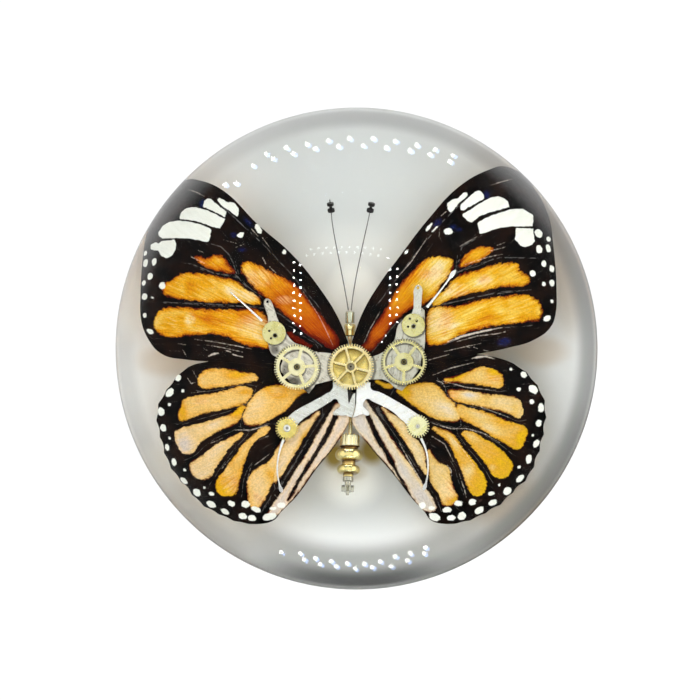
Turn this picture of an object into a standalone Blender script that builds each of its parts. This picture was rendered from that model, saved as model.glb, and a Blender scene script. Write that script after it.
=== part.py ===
"""A butterfly under a glass dome: natural wings on a body of watch parts.

Blender units are metres and +Z is up. The origin is the middle of the base's underside, and the
insect's head points to +Y. Every size below is in millimetres and becomes metres through MM.
The pieces are stacked upwards: base, post, body core, hindwings, forewings, bridges, wheels, glass.
"""

import math

import bmesh
import bpy
from mathutils import Matrix, Vector

MM = 0.001

# The case.
DOME_RADIUS = 50.0
DOME_STEPS = 44
DOME_ARC_STEPS = 11
RECESS_RADIUS = 44.0
BASE_RADIUS = 49.5
BASE_HEIGHT = 3.0
BASE_STEPS = 32
EDGE_BEVEL = 0.6
CASE_GAP = 0.3

# Heights. A piece that lies on another keeps FIT_GAP to it.
FIT_GAP = 0.1
WING_THICKNESS = 0.2
PLATE_THICKNESS = 0.4
WHEEL_THICKNESS = 0.35
HAND_THICKNESS = 0.2
GLASS_BOTTOM = BASE_HEIGHT + CASE_GAP
CEILING = 11.0
CORE_BOTTOM, CORE_TOP = 6.3, 8.2
HINDWING_BOTTOM = CORE_TOP + FIT_GAP
FOREWING_BOTTOM = HINDWING_BOTTOM + WING_THICKNESS + FIT_GAP
LEVER_BOTTOM = FOREWING_BOTTOM
BRIDGE_BOTTOM = FOREWING_BOTTOM + WING_THICKNESS + FIT_GAP
ON_LEVER = LEVER_BOTTOM + PLATE_THICKNESS + FIT_GAP
ON_BRIDGE = BRIDGE_BOTTOM + PLATE_THICKNESS + FIT_GAP
CUP_THICKNESS = 0.25
ON_CUP = ON_BRIDGE + CUP_THICKNESS + FIT_GAP
ARM_THICKNESS = 0.2
ON_ARM = ON_BRIDGE + ARM_THICKNESS + FIT_GAP

# The body. Its axis leans a little to the left towards the tail.
CORE_CENTRE = (-0.85, -4.1)
CORE_SIZE = (2.6, 8.6)
CORE_BEVEL = 0.25
POST_CENTRE = (-0.85, -2.5)
POST_RADIUS = 1.6
PAD_RADIUS, PAD_HEIGHT = 3.0, 0.8
HEAD_BASE = (-0.88, 0.3, 7.4)
TUBE_LENGTH = 1.55
TUBE_RADIUS, TUBE_EDGE = 0.6, 0.1
TAIL_START, TAIL_END = (-0.75, -8.7, 7.0), (-1.22, -19.6, 7.0)
BODY_STEPS, TAIL_STEPS = 14, 16

# Turned profiles of the body: (radius, distance along the axis) from the piece's own start.
FERRULE = [
    (0.0, 0.0), (0.19, 0.0), (0.36, 1.35), (0.72, 1.45), (0.72, 2.25), (0.78, 2.35),
    (0.78, 2.75), (0.6, 3.0), (0.0, 3.0),
]
FINIAL_DRUM = [
    (0.0, 0.0), (0.28, 0.0), (0.28, 2.8), (1.2, 2.83), (1.38, 2.98), (1.38, 4.4), (1.15, 4.5),
    (1.15, 4.7),
]
FINIAL_GROOVE = [(0.9, 6.4), (0.9, 6.9)]
FINIAL_END = [(0.7, 8.12), (0.7, 8.45), (0.0, 8.45)]
PINION = [
    (0.0, 0.0), (0.72, 0.0), (0.72, 0.52), (0.42, 0.57), (0.42, 1.08), (0.9, 1.13), (0.9, 1.83),
    (0.24, 1.88), (0.2, 2.35), (0.0, 2.35),
]
# Beads of the finial: radius, middle and half-length along the axis.
LARGE_BEAD, SMALL_BEAD = (1.88, 5.53, 0.8), (1.55, 7.5, 0.57)
# Grooves cut by a ring of rods: ring radius, rod radius, count, near and far end along the axis.
DRUM_FLUTES = (1.48, 0.22, 12, 2.7, 4.33)
PINION_FLUTES = (0.93, 0.2, 8, 1.0, 1.94)
BEAD_STEPS, ROD_SIDES = 5, 5

# Wing outlines, from the front of the root round the margin to the back of the root.
FOREWING_LEFT = [
    (-1.15, 0.95, "corner"), (-2.57, 4.33), (-4.96, 8.13), (-8.87, 12.91), (-13.43, 16.93),
    (-18.54, 22.04), (-22.78, 24.5), (-26.6, 25.9), (-29.6, 25.1), (-31.3, 22.2), (-31.9, 18.0),
    (-31.4, 13.35), (-31.0, 8.0), (-30.6, 4.0), (-29.3, 1.35), (-27.1, -0.75), (-23.2, -1.55),
    (-17.0, -1.9), (-10.0, -2.9), (-1.15, -4.0, "corner"),
]
FOREWING_RIGHT = [
    (-0.65, 0.95, "corner"), (0.93, 5.09), (3.1, 8.78), (5.83, 12.5), (9.74, 17.6),
    (13.98, 22.26), (18.9, 25.6), (22.6, 27.3), (25.4, 27.0), (27.4, 24.2), (28.35, 20.0),
    (28.15, 14.9), (28.1, 8.1), (27.9, 5.2), (27.1, 3.1), (24.5, 1.2), (20.8, 0.1),
    (15.4, -1.0), (9.0, -2.6), (-0.65, -4.0, "corner"),
]
HINDWING_LEFT = [
    (-1.1, -2.5, "corner"), (-8.0, -0.9), (-15.0, -0.7), (-20.2, -1.75), (-23.1, -2.6),
    (-26.0, -5.5), (-27.75, -8.6), (-27.4, -13.0), (-26.3, -16.8), (-24.0, -19.7),
    (-21.9, -22.0), (-19.2, -23.3), (-16.8, -24.15), (-13.2, -24.3), (-11.3, -23.6),
    (-10.4, -22.5), (-8.1, -20.1), (-5.4, -16.3), (-2.9, -13.2), (-0.97, -10.1, "corner"),
]
HINDWING_RIGHT = [
    (-0.65, -2.5, "corner"), (6.0, -1.0), (12.0, -0.8), (15.7, -0.75), (18.8, -1.15),
    (22.0, -2.4), (24.6, -4.8), (26.0, -7.6), (26.0, -11.3), (25.2, -15.2), (24.1, -18.0),
    (21.9, -20.1), (20.4, -21.6), (18.2, -22.8), (16.0, -23.8), (12.2, -24.25), (10.2, -23.6),
    (9.4, -22.5), (7.6, -20.5), (5.1, -17.2), (2.2, -13.8), (-0.7, -10.1, "corner"),
]

# Plate outlines, each from the end that lies under the centre wheel.
BRIDGE_LEFT = [
    (-2.6, -0.9, "corner"), (-3.6, -0.65), (-5.6, -0.4), (-7.6, 0.5), (-8.5, 0.8), (-9.6, 2.05),
    (-10.6, 3.6), (-11.3, 5.5), (-11.75, 6.55), (-12.2, 6.88), (-12.65, 6.4), (-12.4, 5.2),
    (-12.1, 4.1), (-12.3, 2.0), (-12.0, 0.3), (-11.7, -0.6), (-11.1, -1.1), (-10.2, -1.5),
    (-10.45, -2.8), (-9.9, -3.6), (-8.6, -4.95), (-7.2, -5.6, "corner"), (-6.5, -6.15, "corner"),
    (-5.6, -4.95, "corner"), (-3.6, -4.4), (-2.6, -4.3, "corner"),
]
BRIDGE_RIGHT = [
    (1.3, -1.3, "corner"), (2.0, -1.15), (3.5, -0.55), (4.6, 0.4), (5.2, 1.3), (5.7, 3.2),
    (6.35, 3.95), (7.2, 4.6), (7.95, 5.15, "corner"), (8.7, 5.75, "corner"),
    (9.3, 5.2, "corner"), (9.38, 2.5), (9.3, 0.2), (8.85, -1.5), (8.75, -2.4), (7.8, -3.9),
    (6.9, -5.0), (6.2, -5.8, "corner"), (5.2, -5.3), (4.4, -4.6), (3.5, -4.2, "corner"),
    (1.3, -4.3, "corner"),
]
LEVER_LEFT = [
    (-1.4, -4.6, "corner"), (-3.2, -4.6, "corner"), (-3.3, -5.5), (-4.4, -6.3), (-6.0, -7.2),
    (-7.5, -8.0), (-8.75, -8.8), (-9.9, -9.9), (-10.5, -11.0), (-9.7, -12.0), (-8.6, -11.5),
    (-7.9, -10.2), (-7.1, -9.5), (-5.4, -8.4), (-3.6, -7.3), (-2.85, -6.87), (-2.5, -7.3),
    (-2.25, -7.85), (-2.9, -8.4), (-3.2, -8.9), (-2.6, -9.12), (-1.5, -9.15),
    (-0.65, -9.4, "corner"), (-0.3, -8.3), (-0.15, -6.0, "corner"), (-0.5, -6.2, "corner"),
    (-1.07, -7.6, "corner"), (-1.25, -5.5, "corner"),
]
LEVER_RIGHT = [
    (0.0, -4.6, "corner"), (-0.02, -6.5), (-0.18, -8.3), (-0.5, -9.4, "corner"), (0.8, -8.97),
    (1.6, -9.1), (1.75, -8.9), (1.3, -8.25), (0.9, -7.8), (1.1, -7.15), (1.45, -6.87), (2.2, -7.2),
    (3.4, -7.8), (4.9, -8.6), (6.0, -9.6), (6.75, -10.3), (7.4, -11.2), (8.5, -11.7), (9.4, -11.0),
    (9.2, -9.8), (7.8, -8.6), (5.5, -7.2), (3.2, -5.95), (2.0, -5.5), (1.9, -4.6, "corner"),
]
ARM_RIGHT = [
    (8.0, 1.9), (6.6, 2.9), (7.2, 4.2), (7.75, 5.3), (7.85, 6.6), (8.0, 8.4), (8.47, 8.75),
    (8.95, 8.4), (8.97, 7.0), (8.9, 5.4), (9.05, 3.9), (8.9, 2.4),
]
HOLE_IN_BRIDGE_LEFT = (-12.2, 6.4)
HOLE_IN_ARM_RIGHT = (8.45, 8.35)
TIP_HOLE_RADIUS, TIP_HOLE_STEPS = 0.18, 8
PLATE_CURVE_STEPS, WING_CURVE_STEPS, WIRE_CURVE_STEPS = 2, 3, 3

# Hands: middle line and the half-widths along it.
HAND_UPPER_LEFT = [(-12.9, 3.75, 0.17), (-15.0, 5.7, 0.12), (-17.3, 7.75, 0.08)]
HAND_UPPER_RIGHT = [
    (9.62, 5.62, 0.2), (11.0, 7.3, 0.14), (12.7, 9.55, 0.16), (13.2, 10.25, 0.32),
    (13.6, 10.75, 0.1),
]
HAND_LOWER_LEFT = [
    (-9.95, -12.35, 0.2), (-10.55, -14.2, 0.13), (-10.85, -16.6, 0.12), (-10.55, -18.7, 0.13),
    (-10.35, -19.4, 0.26), (-10.25, -19.75, 0.1),
]
HAND_LOWER_RIGHT = [
    (8.8, -12.2, 0.2), (9.5, -13.9, 0.13), (9.78, -16.0, 0.12), (9.55, -18.3, 0.13),
    (9.3, -19.1, 0.26), (9.2, -19.45, 0.1),
]

# Wheels: centre, tooth tips, tooth roots, inside of the rim, hub, bore, spoke half-width.
CENTRE_WHEEL = {
    "centre": (-0.78, -2.5), "tip": 3.12, "root": 2.86, "teeth": 64, "rim": 2.45, "hub": 0.8,
    "bore": 0.5, "spokes": 6, "spoke": 0.15, "turn": 105.0,
}
LARGE_WHEEL_LEFT = {
    "centre": (-8.2, -2.55), "tip": 3.08, "root": 2.92, "teeth": 66, "rim": 2.42, "hub": 1.2,
    "bore": 0.45, "spokes": 5, "spoke": 0.21, "turn": 76.0,
}
LARGE_WHEEL_RIGHT = {
    "centre": (6.52, -1.85), "tip": 3.1, "root": 2.92, "teeth": 66, "rim": 2.6, "hub": 1.3,
    "bore": 0.45, "spokes": 5, "spoke": 0.2, "turn": 53.0,
}
SMALL_GEAR_LEFT = {"centre": (-9.55, -10.95), "tip": 1.58, "root": 1.38, "teeth": 32, "bore": 0.5}
SMALL_GEAR_RIGHT = {"centre": (8.4, -10.65), "tip": 1.58, "root": 1.38, "teeth": 32, "bore": 0.3}
DISC_LEFT = {
    "centre": (-11.35, 2.15), "radius": 1.62, "pivot": (-11.2, 1.78),
    "holes": [(-12.0, 2.42), (-11.75, 1.4)],
}
DISC_RIGHT = {
    "centre": (7.82, 3.22), "radius": 1.6, "pivot": (7.87, 3.05),
    "holes": [(7.1, 3.0), (7.35, 4.1), (8.3, 3.8)],
}
DISC_PIVOT_BORE, DISC_HOLE_RADIUS = 0.32, 0.16
DISC_THICKNESS = 0.3

# Outer rows of the cup and the arbors: (radius, height above the piece's own bottom).
CUP_ROWS = [(2.58, 0.0), (2.58, CUP_THICKNESS), (2.3, CUP_THICKNESS), (0.9, 0.12)]
CENTRE_ARBOR_ROWS = [(0.42, 0.0), (0.42, 0.45), (0.2, 0.5), (0.16, 0.75)]
LARGE_ARBOR_ROWS = [(0.38, 0.0), (0.38, 0.3), (0.18, 0.35), (0.15, 0.6)]
DISC_ARBOR_ROWS = [(0.24, 0.0), (0.24, 0.34), (0.1, 0.38), (0.1, 0.5)]
COLLAR_HEIGHT, COLLAR_STEP, COLLAR_TOP = 0.4, 0.42, 0.5
CUP_STEPS, ARBOR_STEPS, POST_STEPS = 24, 8, 12
DISC_STEPS, BORE_STEPS, SMALL_HOLE_STEPS = 28, 12, 6
RIM_ARC_STEPS, HUB_ARC_STEPS = 6, 2

# Antennae: wires from the head to the turned knobs on their ends.
ANTENNA_RADIUS = 0.07
ANTENNA_LEFT = [(-1.1, 5.1, 7.4), (-1.95, 9.9, 7.75), (-2.95, 15.0, 8.4), (-3.42, 18.55, 8.85)]
ANTENNA_RIGHT = [(-0.7, 5.1, 7.4), (0.0, 9.9, 7.75), (1.05, 15.0, 8.4), (1.8, 18.55, 8.85)]
KNOB_HEIGHT = 8.85
KNOB_STEPS = 10
KNOB = [
    (0.0, 0.0), (0.42, 0.0), (0.5, 0.12), (0.5, 0.45), (0.22, 0.62), (0.22, 0.8), (0.48, 0.95),
    (0.48, 1.3), (0.07, 1.34),
]
# The left knob keeps its fine pivot, and on the right one it is broken off.
KNOB_ENDS = {"left": [(0.07, 1.8), (0.0, 1.8)], "right": [(0.0, 1.36)]}


# Finishes.

FINISHES = {
    "clear_glass": {"colour": (0.98, 1.0, 0.99), "roughness": 0.0, "metallic": 0.0, "clear": 1.0},
    "white_backing": {"colour": (0.86, 0.87, 0.85), "roughness": 0.6, "metallic": 0.0},
    "forewing": {"colour": (0.75, 0.3, 0.03), "roughness": 0.6, "metallic": 0.0},
    "hindwing": {"colour": (0.85, 0.48, 0.14), "roughness": 0.6, "metallic": 0.0},
    "brass": {"colour": (0.89, 0.72, 0.3), "roughness": 0.25, "metallic": 1.0},
    "nickel": {"colour": (0.75, 0.73, 0.7), "roughness": 0.35, "metallic": 1.0},
    "bright_steel": {"colour": (0.8, 0.81, 0.82), "roughness": 0.18, "metallic": 1.0},
    "dark_steel": {"colour": (0.04, 0.04, 0.04), "roughness": 0.4, "metallic": 1.0},
}


def finish(node_name, kind):
    """One Principled material for one piece."""
    values = FINISHES[kind]
    material = bpy.data.materials.new(node_name)
    material.use_nodes = True
    shader = material.node_tree.nodes["Principled BSDF"]
    shader.inputs["Base Color"].default_value = (*values["colour"], 1.0)
    shader.inputs["Roughness"].default_value = values["roughness"]
    shader.inputs["Metallic"].default_value = values["metallic"]
    shader.inputs["Transmission Weight"].default_value = values.get("clear", 0.0)
    material.diffuse_color = (*values["colour"], 1.0)
    return material


# Scene and collections.

def clear_scene():
    for obj in list(bpy.data.objects):
        bpy.data.objects.remove(obj, do_unlink=True)


def new_collection(name):
    collection = bpy.data.collections.new(name)
    bpy.context.scene.collection.children.link(collection)
    return collection


def place(name, data, kind, collection):
    """Links a new object and gives it its own material."""
    obj = bpy.data.objects.new(name, data)
    collection.objects.link(obj)
    data.materials.append(finish(name, kind))
    return obj


# Flat plates, wings and wheels: filled 2D curves.

def add_spline(curve, outline):
    """A closed smooth spline through (x, y) points; one marked "corner" stays sharp."""
    spline = curve.splines.new("BEZIER")
    spline.bezier_points.add(len(outline) - 1)
    for point, given in zip(spline.bezier_points, outline):
        point.co = (given[0] * MM, given[1] * MM, 0.0)
        handle = "VECTOR" if "corner" in given else "AUTO"
        point.handle_left_type = point.handle_right_type = handle
    spline.use_cyclic_u = True
    spline.resolution_u = curve.resolution_u


def add_polygon(curve, points):
    """A closed straight-sided spline."""
    spline = curve.splines.new("POLY")
    spline.points.add(len(points) - 1)
    for point, (x, y) in zip(spline.points, points):
        point.co = (x * MM, y * MM, 0.0, 1.0)
    spline.use_cyclic_u = True


def plate(name, kind, bottom, thickness, smooth=(), straight=(), resolution=PLATE_CURVE_STEPS):
    """A flat piece: each outline inside the first one is a hole."""
    curve = bpy.data.curves.new(name, "CURVE")
    curve.dimensions = "2D"
    curve.fill_mode = "BOTH"
    curve.resolution_u = resolution
    curve.extrude = thickness / 2 * MM
    for outline in smooth:
        add_spline(curve, outline)
    for outline in straight:
        add_polygon(curve, outline)
    obj = place(name, curve, kind, PARTS)
    obj.location.z = (bottom + thickness / 2) * MM
    return obj


def circle(centre, radius, steps):
    turns = [2 * math.pi * i / steps for i in range(steps)]
    return [(centre[0] + radius * math.cos(t), centre[1] + radius * math.sin(t)) for t in turns]


def teeth_outline(centre, tip, root, teeth):
    """Fine pointed teeth: a tip and a root in turn."""
    points = []
    for i in range(2 * teeth):
        angle = math.pi * i / teeth
        radius = root if i % 2 else tip
        points.append((centre[0] + radius * math.cos(angle),
                       centre[1] + radius * math.sin(angle)))
    return points


def arc(centre, radius, start, end, steps):
    angles = [start + (end - start) * i / steps for i in range(steps + 1)]
    return [(centre[0] + radius * math.cos(a), centre[1] + radius * math.sin(a)) for a in angles]


def window_outlines(wheel):
    """The openings between the spokes: an arc of the rim and an arc of the hub."""
    pitch = 2 * math.pi / wheel["spokes"]
    outlines = []
    for i in range(wheel["spokes"]):
        first = math.radians(wheel["turn"]) + i * pitch
        last = first + pitch
        rim_inset = math.asin(wheel["spoke"] / wheel["rim"])
        hub_inset = math.asin(wheel["spoke"] / wheel["hub"])
        outer = arc(wheel["centre"], wheel["rim"], first + rim_inset, last - rim_inset,
                    RIM_ARC_STEPS)
        inner = arc(wheel["centre"], wheel["hub"], last - hub_inset, first + hub_inset,
                    HUB_ARC_STEPS)
        outlines.append(outer + inner)
    return outlines


def spoked_wheel(name, wheel, bottom):
    rim = teeth_outline(wheel["centre"], wheel["tip"], wheel["root"], wheel["teeth"])
    bore = circle(wheel["centre"], wheel["bore"], BORE_STEPS)
    return plate(name, "brass", bottom, WHEEL_THICKNESS,
                 straight=[rim, *window_outlines(wheel), bore])


def small_gear(name, gear, bottom):
    rim = teeth_outline(gear["centre"], gear["tip"], gear["root"], gear["teeth"])
    return plate(name, "brass", bottom, DISC_THICKNESS,
                 straight=[rim, circle(gear["centre"], gear["bore"], BORE_STEPS)])


def drilled_disc(name, disc, bottom):
    edge = circle(disc["centre"], disc["radius"], DISC_STEPS)
    pivot_bore = circle(disc["pivot"], DISC_PIVOT_BORE, ARBOR_STEPS)
    holes = [circle(hole, DISC_HOLE_RADIUS, SMALL_HOLE_STEPS) for hole in disc["holes"]]
    return plate(name, "brass", bottom, DISC_THICKNESS, straight=[edge, pivot_bore, *holes])


def hand_outline(line):
    """The middle line moved to both sides by its half-widths."""
    left, right = [], []
    for i, (x, y, half_width) in enumerate(line):
        before, after = line[max(i - 1, 0)], line[min(i + 1, len(line) - 1)]
        along = Vector((after[0] - before[0], after[1] - before[1])).normalized()
        left.append((x - along.y * half_width, y + along.x * half_width))
        right.append((x + along.y * half_width, y - along.x * half_width))
    return left + right[::-1]


def hand(name, line, bottom):
    outline = [(*point, "corner") if i in (0, 2 * len(line) - 1) else point
               for i, point in enumerate(hand_outline(line))]
    return plate(name, "bright_steel", bottom, HAND_THICKNESS, smooth=[outline])


# Turned pieces: a profile of (radius, distance along the axis) and a Screw modifier.

def turned(name, kind, profile, start, end, steps):
    """Turns a profile about the line from start towards end. Its first point lies at start."""
    rows = list(reversed(profile))
    mesh = bpy.data.meshes.new(name)
    mesh.from_pydata([(radius * MM, 0.0, along * MM) for radius, along in rows],
                     [(i, i + 1) for i in range(len(rows) - 1)], [])
    obj = place(name, mesh, kind, PARTS)
    obj.location = Vector(start) * MM
    direction = Vector(end) - Vector(start)
    obj.rotation_euler = direction.to_track_quat("Z", "X").to_euler()
    screw = obj.modifiers.new("Turn", "SCREW")
    screw.steps = screw.render_steps = steps
    screw.use_merge_vertices = True
    screw.merge_threshold = 0.00001
    screw.use_smooth_shade = True
    return obj


def bead(radius, along, half_length):
    """The rounded side of a bead, from its near edge to its far edge."""
    rows = []
    for i in range(BEAD_STEPS + 1):
        angle = math.pi * (i / BEAD_STEPS - 0.5)
        rows.append((radius - half_length * (1 - math.cos(angle)),
                     along + half_length * math.sin(angle)))
    return rows


def flute_cutter(name, start, end, flutes):
    """Rods parallel to the axis, in a ring, that cut grooves along a stretch of it."""
    ring_radius, rod_radius, count, near, far = flutes
    axis = (Vector(end) - Vector(start)).normalized()
    turned_to_axis = axis.to_track_quat("Z", "X").to_matrix().to_4x4()
    frame = Matrix.Translation(Vector(start) * MM) @ turned_to_axis
    middle, length = (near + far) / 2, (far - near) * MM
    build = bmesh.new()
    for i in range(count):
        turn = 2 * math.pi * (i + 0.5) / count
        offset = Vector((math.cos(turn) * ring_radius, math.sin(turn) * ring_radius, middle)) * MM
        bmesh.ops.create_cone(build, cap_ends=True, segments=ROD_SIDES, radius1=rod_radius * MM,
                              radius2=rod_radius * MM, depth=length,
                              matrix=frame @ Matrix.Translation(offset))
    mesh = bpy.data.meshes.new(name)
    build.to_mesh(mesh)
    build.free()
    obj = place(name, mesh, "dark_steel", CUTTERS)
    obj.hide_render = True
    obj.display_type = "WIRE"
    return obj


def cut(obj, cutter):
    boolean = obj.modifiers.new("Cut", "BOOLEAN")
    boolean.operation = "DIFFERENCE"
    boolean.solver = "EXACT"
    boolean.object = cutter


def wire(name, kind, points, radius):
    """A smooth wire of round section with closed ends."""
    curve = bpy.data.curves.new(name, "CURVE")
    curve.dimensions = "3D"
    curve.resolution_u = WIRE_CURVE_STEPS
    curve.bevel_depth = radius * MM
    curve.bevel_resolution = 1
    curve.use_fill_caps = True
    spline = curve.splines.new("BEZIER")
    spline.bezier_points.add(len(points) - 1)
    for point, given in zip(spline.bezier_points, points):
        point.co = Vector(given) * MM
        point.handle_left_type = point.handle_right_type = "AUTO"
    spline.resolution_u = curve.resolution_u
    return place(name, curve, kind, PARTS)


# The case.

def make_glass_dome():
    """A solid hemisphere on a short straight skirt, with a round recess in its underside."""
    angles = [math.pi / 2 * i / DOME_ARC_STEPS for i in range(DOME_ARC_STEPS, -1, -1)]
    sphere = [(DOME_RADIUS * math.sin(a), CEILING + DOME_RADIUS * math.cos(a)) for a in angles]
    profile = [(0.0, CEILING), (RECESS_RADIUS, CEILING), (RECESS_RADIUS, GLASS_BOTTOM),
               (DOME_RADIUS - EDGE_BEVEL, GLASS_BOTTOM),
               (DOME_RADIUS, GLASS_BOTTOM + EDGE_BEVEL), *sphere]
    return turned("glass_dome", "clear_glass", profile, (0, 0, 0), (0, 0, 1), DOME_STEPS)


def make_base_disc():
    profile = [(0.0, 0.0), (BASE_RADIUS - EDGE_BEVEL, 0.0), (BASE_RADIUS, EDGE_BEVEL),
               (BASE_RADIUS, BASE_HEIGHT), (0.0, BASE_HEIGHT)]
    return turned("base_disc", "white_backing", profile, (0, 0, 0), (0, 0, 1), BASE_STEPS)


def make_mounting_post():
    top = CORE_BOTTOM - CASE_GAP - GLASS_BOTTOM
    profile = [(0.0, 0.0), (PAD_RADIUS, 0.0), (PAD_RADIUS, PAD_HEIGHT), (POST_RADIUS, PAD_HEIGHT),
               (POST_RADIUS, top), (0.0, top)]
    start = (*POST_CENTRE, GLASS_BOTTOM)
    return turned("mounting_post", "white_backing", profile, start, (*POST_CENTRE, CEILING),
                  POST_STEPS)


# The insect.

def make_wings():
    wings = [
        ("hindwing_left", "hindwing", HINDWING_LEFT, HINDWING_BOTTOM),
        ("hindwing_right", "hindwing", HINDWING_RIGHT, HINDWING_BOTTOM),
        ("forewing_left", "forewing", FOREWING_LEFT, FOREWING_BOTTOM),
        ("forewing_right", "forewing", FOREWING_RIGHT, FOREWING_BOTTOM),
    ]
    for name, kind, outline, bottom in wings:
        plate(name, kind, bottom, WING_THICKNESS, smooth=[outline], resolution=WING_CURVE_STEPS)


def make_body_core():
    """The block that the wings, head and tail are fixed to, with rounded upright edges."""
    build = bmesh.new()
    bmesh.ops.create_cube(build, size=1.0)
    size = Vector((*CORE_SIZE, CORE_TOP - CORE_BOTTOM)) * MM
    bmesh.ops.scale(build, vec=size, verts=build.verts)
    mesh = bpy.data.meshes.new("body_core")
    build.to_mesh(mesh)
    build.free()
    obj = place("body_core", mesh, "dark_steel", PARTS)
    obj.location = Vector((*CORE_CENTRE, (CORE_TOP + CORE_BOTTOM) / 2)) * MM
    bevel = obj.modifiers.new("Edges", "BEVEL")
    bevel.width = CORE_BEVEL * MM
    bevel.segments = 1


def make_head():
    """A tapered brass neck and ferrule, and the steel tube in its front."""
    forward = Vector((0.0, 1.0, 0.0))
    base = Vector(HEAD_BASE)
    turned("head_ferrule", "brass", FERRULE, base, base + forward, BODY_STEPS)
    inner = TUBE_RADIUS - TUBE_EDGE
    tube = [(0.0, 0.0), (inner, 0.0), (TUBE_RADIUS, TUBE_EDGE),
            (TUBE_RADIUS, TUBE_LENGTH - TUBE_EDGE), (inner, TUBE_LENGTH), (0.0, TUBE_LENGTH)]
    start = base + forward * (FERRULE[-1][1] + FIT_GAP)
    turned("head_tube", "bright_steel", tube, start, start + forward, BODY_STEPS)


def make_antennae():
    """Each knob is a small turned staff: two flanges, a waist and a fine pivot."""
    for side, points in (("left", ANTENNA_LEFT), ("right", ANTENNA_RIGHT)):
        wire(f"antenna_{side}", "dark_steel", points, ANTENNA_RADIUS)
        last, before = Vector(points[-1]), Vector(points[-2])
        along = (last - before).to_2d().normalized()
        start = Vector((*(last.to_2d() + along * FIT_GAP), KNOB_HEIGHT))
        turned(f"antenna_knob_{side}", "dark_steel", KNOB + KNOB_ENDS[side], start,
               start + Vector((*along, 0.0)), KNOB_STEPS)


def make_abdomen():
    """A thin neck, a fluted drum and two beads in brass, then a steel pinion with leaves."""
    profile = [*FINIAL_DRUM, *bead(*LARGE_BEAD), *FINIAL_GROOVE, *bead(*SMALL_BEAD), *FINIAL_END]
    finial = turned("abdomen_finial", "brass", profile, TAIL_START, TAIL_END, TAIL_STEPS)
    cut(finial, flute_cutter("flute_rods", TAIL_START, TAIL_END, DRUM_FLUTES))
    axis = (Vector(TAIL_END) - Vector(TAIL_START)).normalized()
    start = Vector(TAIL_START) + axis * (FINIAL_END[-1][1] + FIT_GAP)
    pinion = turned("abdomen_pinion", "bright_steel", PINION, start, TAIL_END, TAIL_STEPS)
    cut(pinion, flute_cutter("leaf_rods", start, TAIL_END, PINION_FLUTES))


# The watch parts on top.

def make_bridges_and_levers():
    plate("bridge_left", "nickel", BRIDGE_BOTTOM, PLATE_THICKNESS, smooth=[BRIDGE_LEFT],
          straight=[circle(HOLE_IN_BRIDGE_LEFT, TIP_HOLE_RADIUS, TIP_HOLE_STEPS)])
    plate("bridge_right", "nickel", BRIDGE_BOTTOM, PLATE_THICKNESS, smooth=[BRIDGE_RIGHT])
    plate("arm_right", "bright_steel", ON_BRIDGE, ARM_THICKNESS, smooth=[ARM_RIGHT],
          straight=[circle(HOLE_IN_ARM_RIGHT, TIP_HOLE_RADIUS, TIP_HOLE_STEPS)])
    plate("lever_left", "nickel", LEVER_BOTTOM, PLATE_THICKNESS, smooth=[LEVER_LEFT])
    plate("lever_right", "nickel", LEVER_BOTTOM, PLATE_THICKNESS, smooth=[LEVER_RIGHT])


def arbor(name, centre, bottom, rows, kind="bright_steel", steps=ARBOR_STEPS):
    """An upright turned piece, closed at both ends."""
    profile = [(0.0, 0.0), *rows, (0.0, rows[-1][1])]
    start = Vector((*centre, bottom))
    turned(name, kind, profile, start, start + Vector((0, 0, 1)), steps)


def make_wheels():
    centre = CENTRE_WHEEL["centre"]
    arbor("centre_cup", centre, ON_BRIDGE, CUP_ROWS, kind="brass", steps=CUP_STEPS)
    spoked_wheel("centre_wheel", CENTRE_WHEEL, ON_CUP)
    arbor("centre_arbor", centre, ON_CUP, CENTRE_ARBOR_ROWS)
    for side, wheel in (("left", LARGE_WHEEL_LEFT), ("right", LARGE_WHEEL_RIGHT)):
        spoked_wheel(f"wheel_{side}", wheel, ON_BRIDGE)
        arbor(f"arbor_{side}", wheel["centre"], ON_BRIDGE, LARGE_ARBOR_ROWS, kind="dark_steel")
    for side, disc, bottom in (("left", DISC_LEFT, ON_BRIDGE), ("right", DISC_RIGHT, ON_ARM)):
        drilled_disc(f"disc_{side}", disc, bottom)
        arbor(f"disc_arbor_{side}", disc["pivot"], bottom, DISC_ARBOR_ROWS, kind="dark_steel")
    for side, gear in (("left", SMALL_GEAR_LEFT), ("right", SMALL_GEAR_RIGHT)):
        small_gear(f"gear_{side}", gear, ON_LEVER)
        collar = gear["bore"] - FIT_GAP / 2
        rows = [(collar, 0.0), (collar, COLLAR_HEIGHT), (collar / 2, COLLAR_STEP),
                (collar / 2, COLLAR_TOP)]
        arbor(f"gear_arbor_{side}", gear["centre"], ON_LEVER, rows)


def make_hands():
    on_forewing = FOREWING_BOTTOM + WING_THICKNESS + FIT_GAP
    on_hindwing = HINDWING_BOTTOM + WING_THICKNESS + FIT_GAP
    hand("hand_upper_left", HAND_UPPER_LEFT, on_forewing)
    hand("hand_upper_right", HAND_UPPER_RIGHT, on_forewing)
    hand("hand_lower_left", HAND_LOWER_LEFT, on_hindwing)
    hand("hand_lower_right", HAND_LOWER_RIGHT, on_hindwing)


clear_scene()
PARTS = new_collection("insect_dome")
CUTTERS = new_collection("cutters")
make_base_disc()
make_glass_dome()
make_mounting_post()
make_body_core()
make_wings()
make_head()
make_antennae()
make_abdomen()
make_bridges_and_levers()
make_wheels()
make_hands()
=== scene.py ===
# %% [markdown]
# # A clockwork butterfly under a glass dome
#
# A real butterfly's wings are spread on a body made of watch parts, and the whole lies on a white board
# under a solid half ball of clear glass. The camera looks straight down on it. The fixed frame gives
# where each solid is. This lesson gives each of them its fine surface and its finish, and nothing moves.
#
# Every size below is in millimetres and becomes metres when a mesh is made.

# %% The frame
import math
from functools import partialmethod

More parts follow.
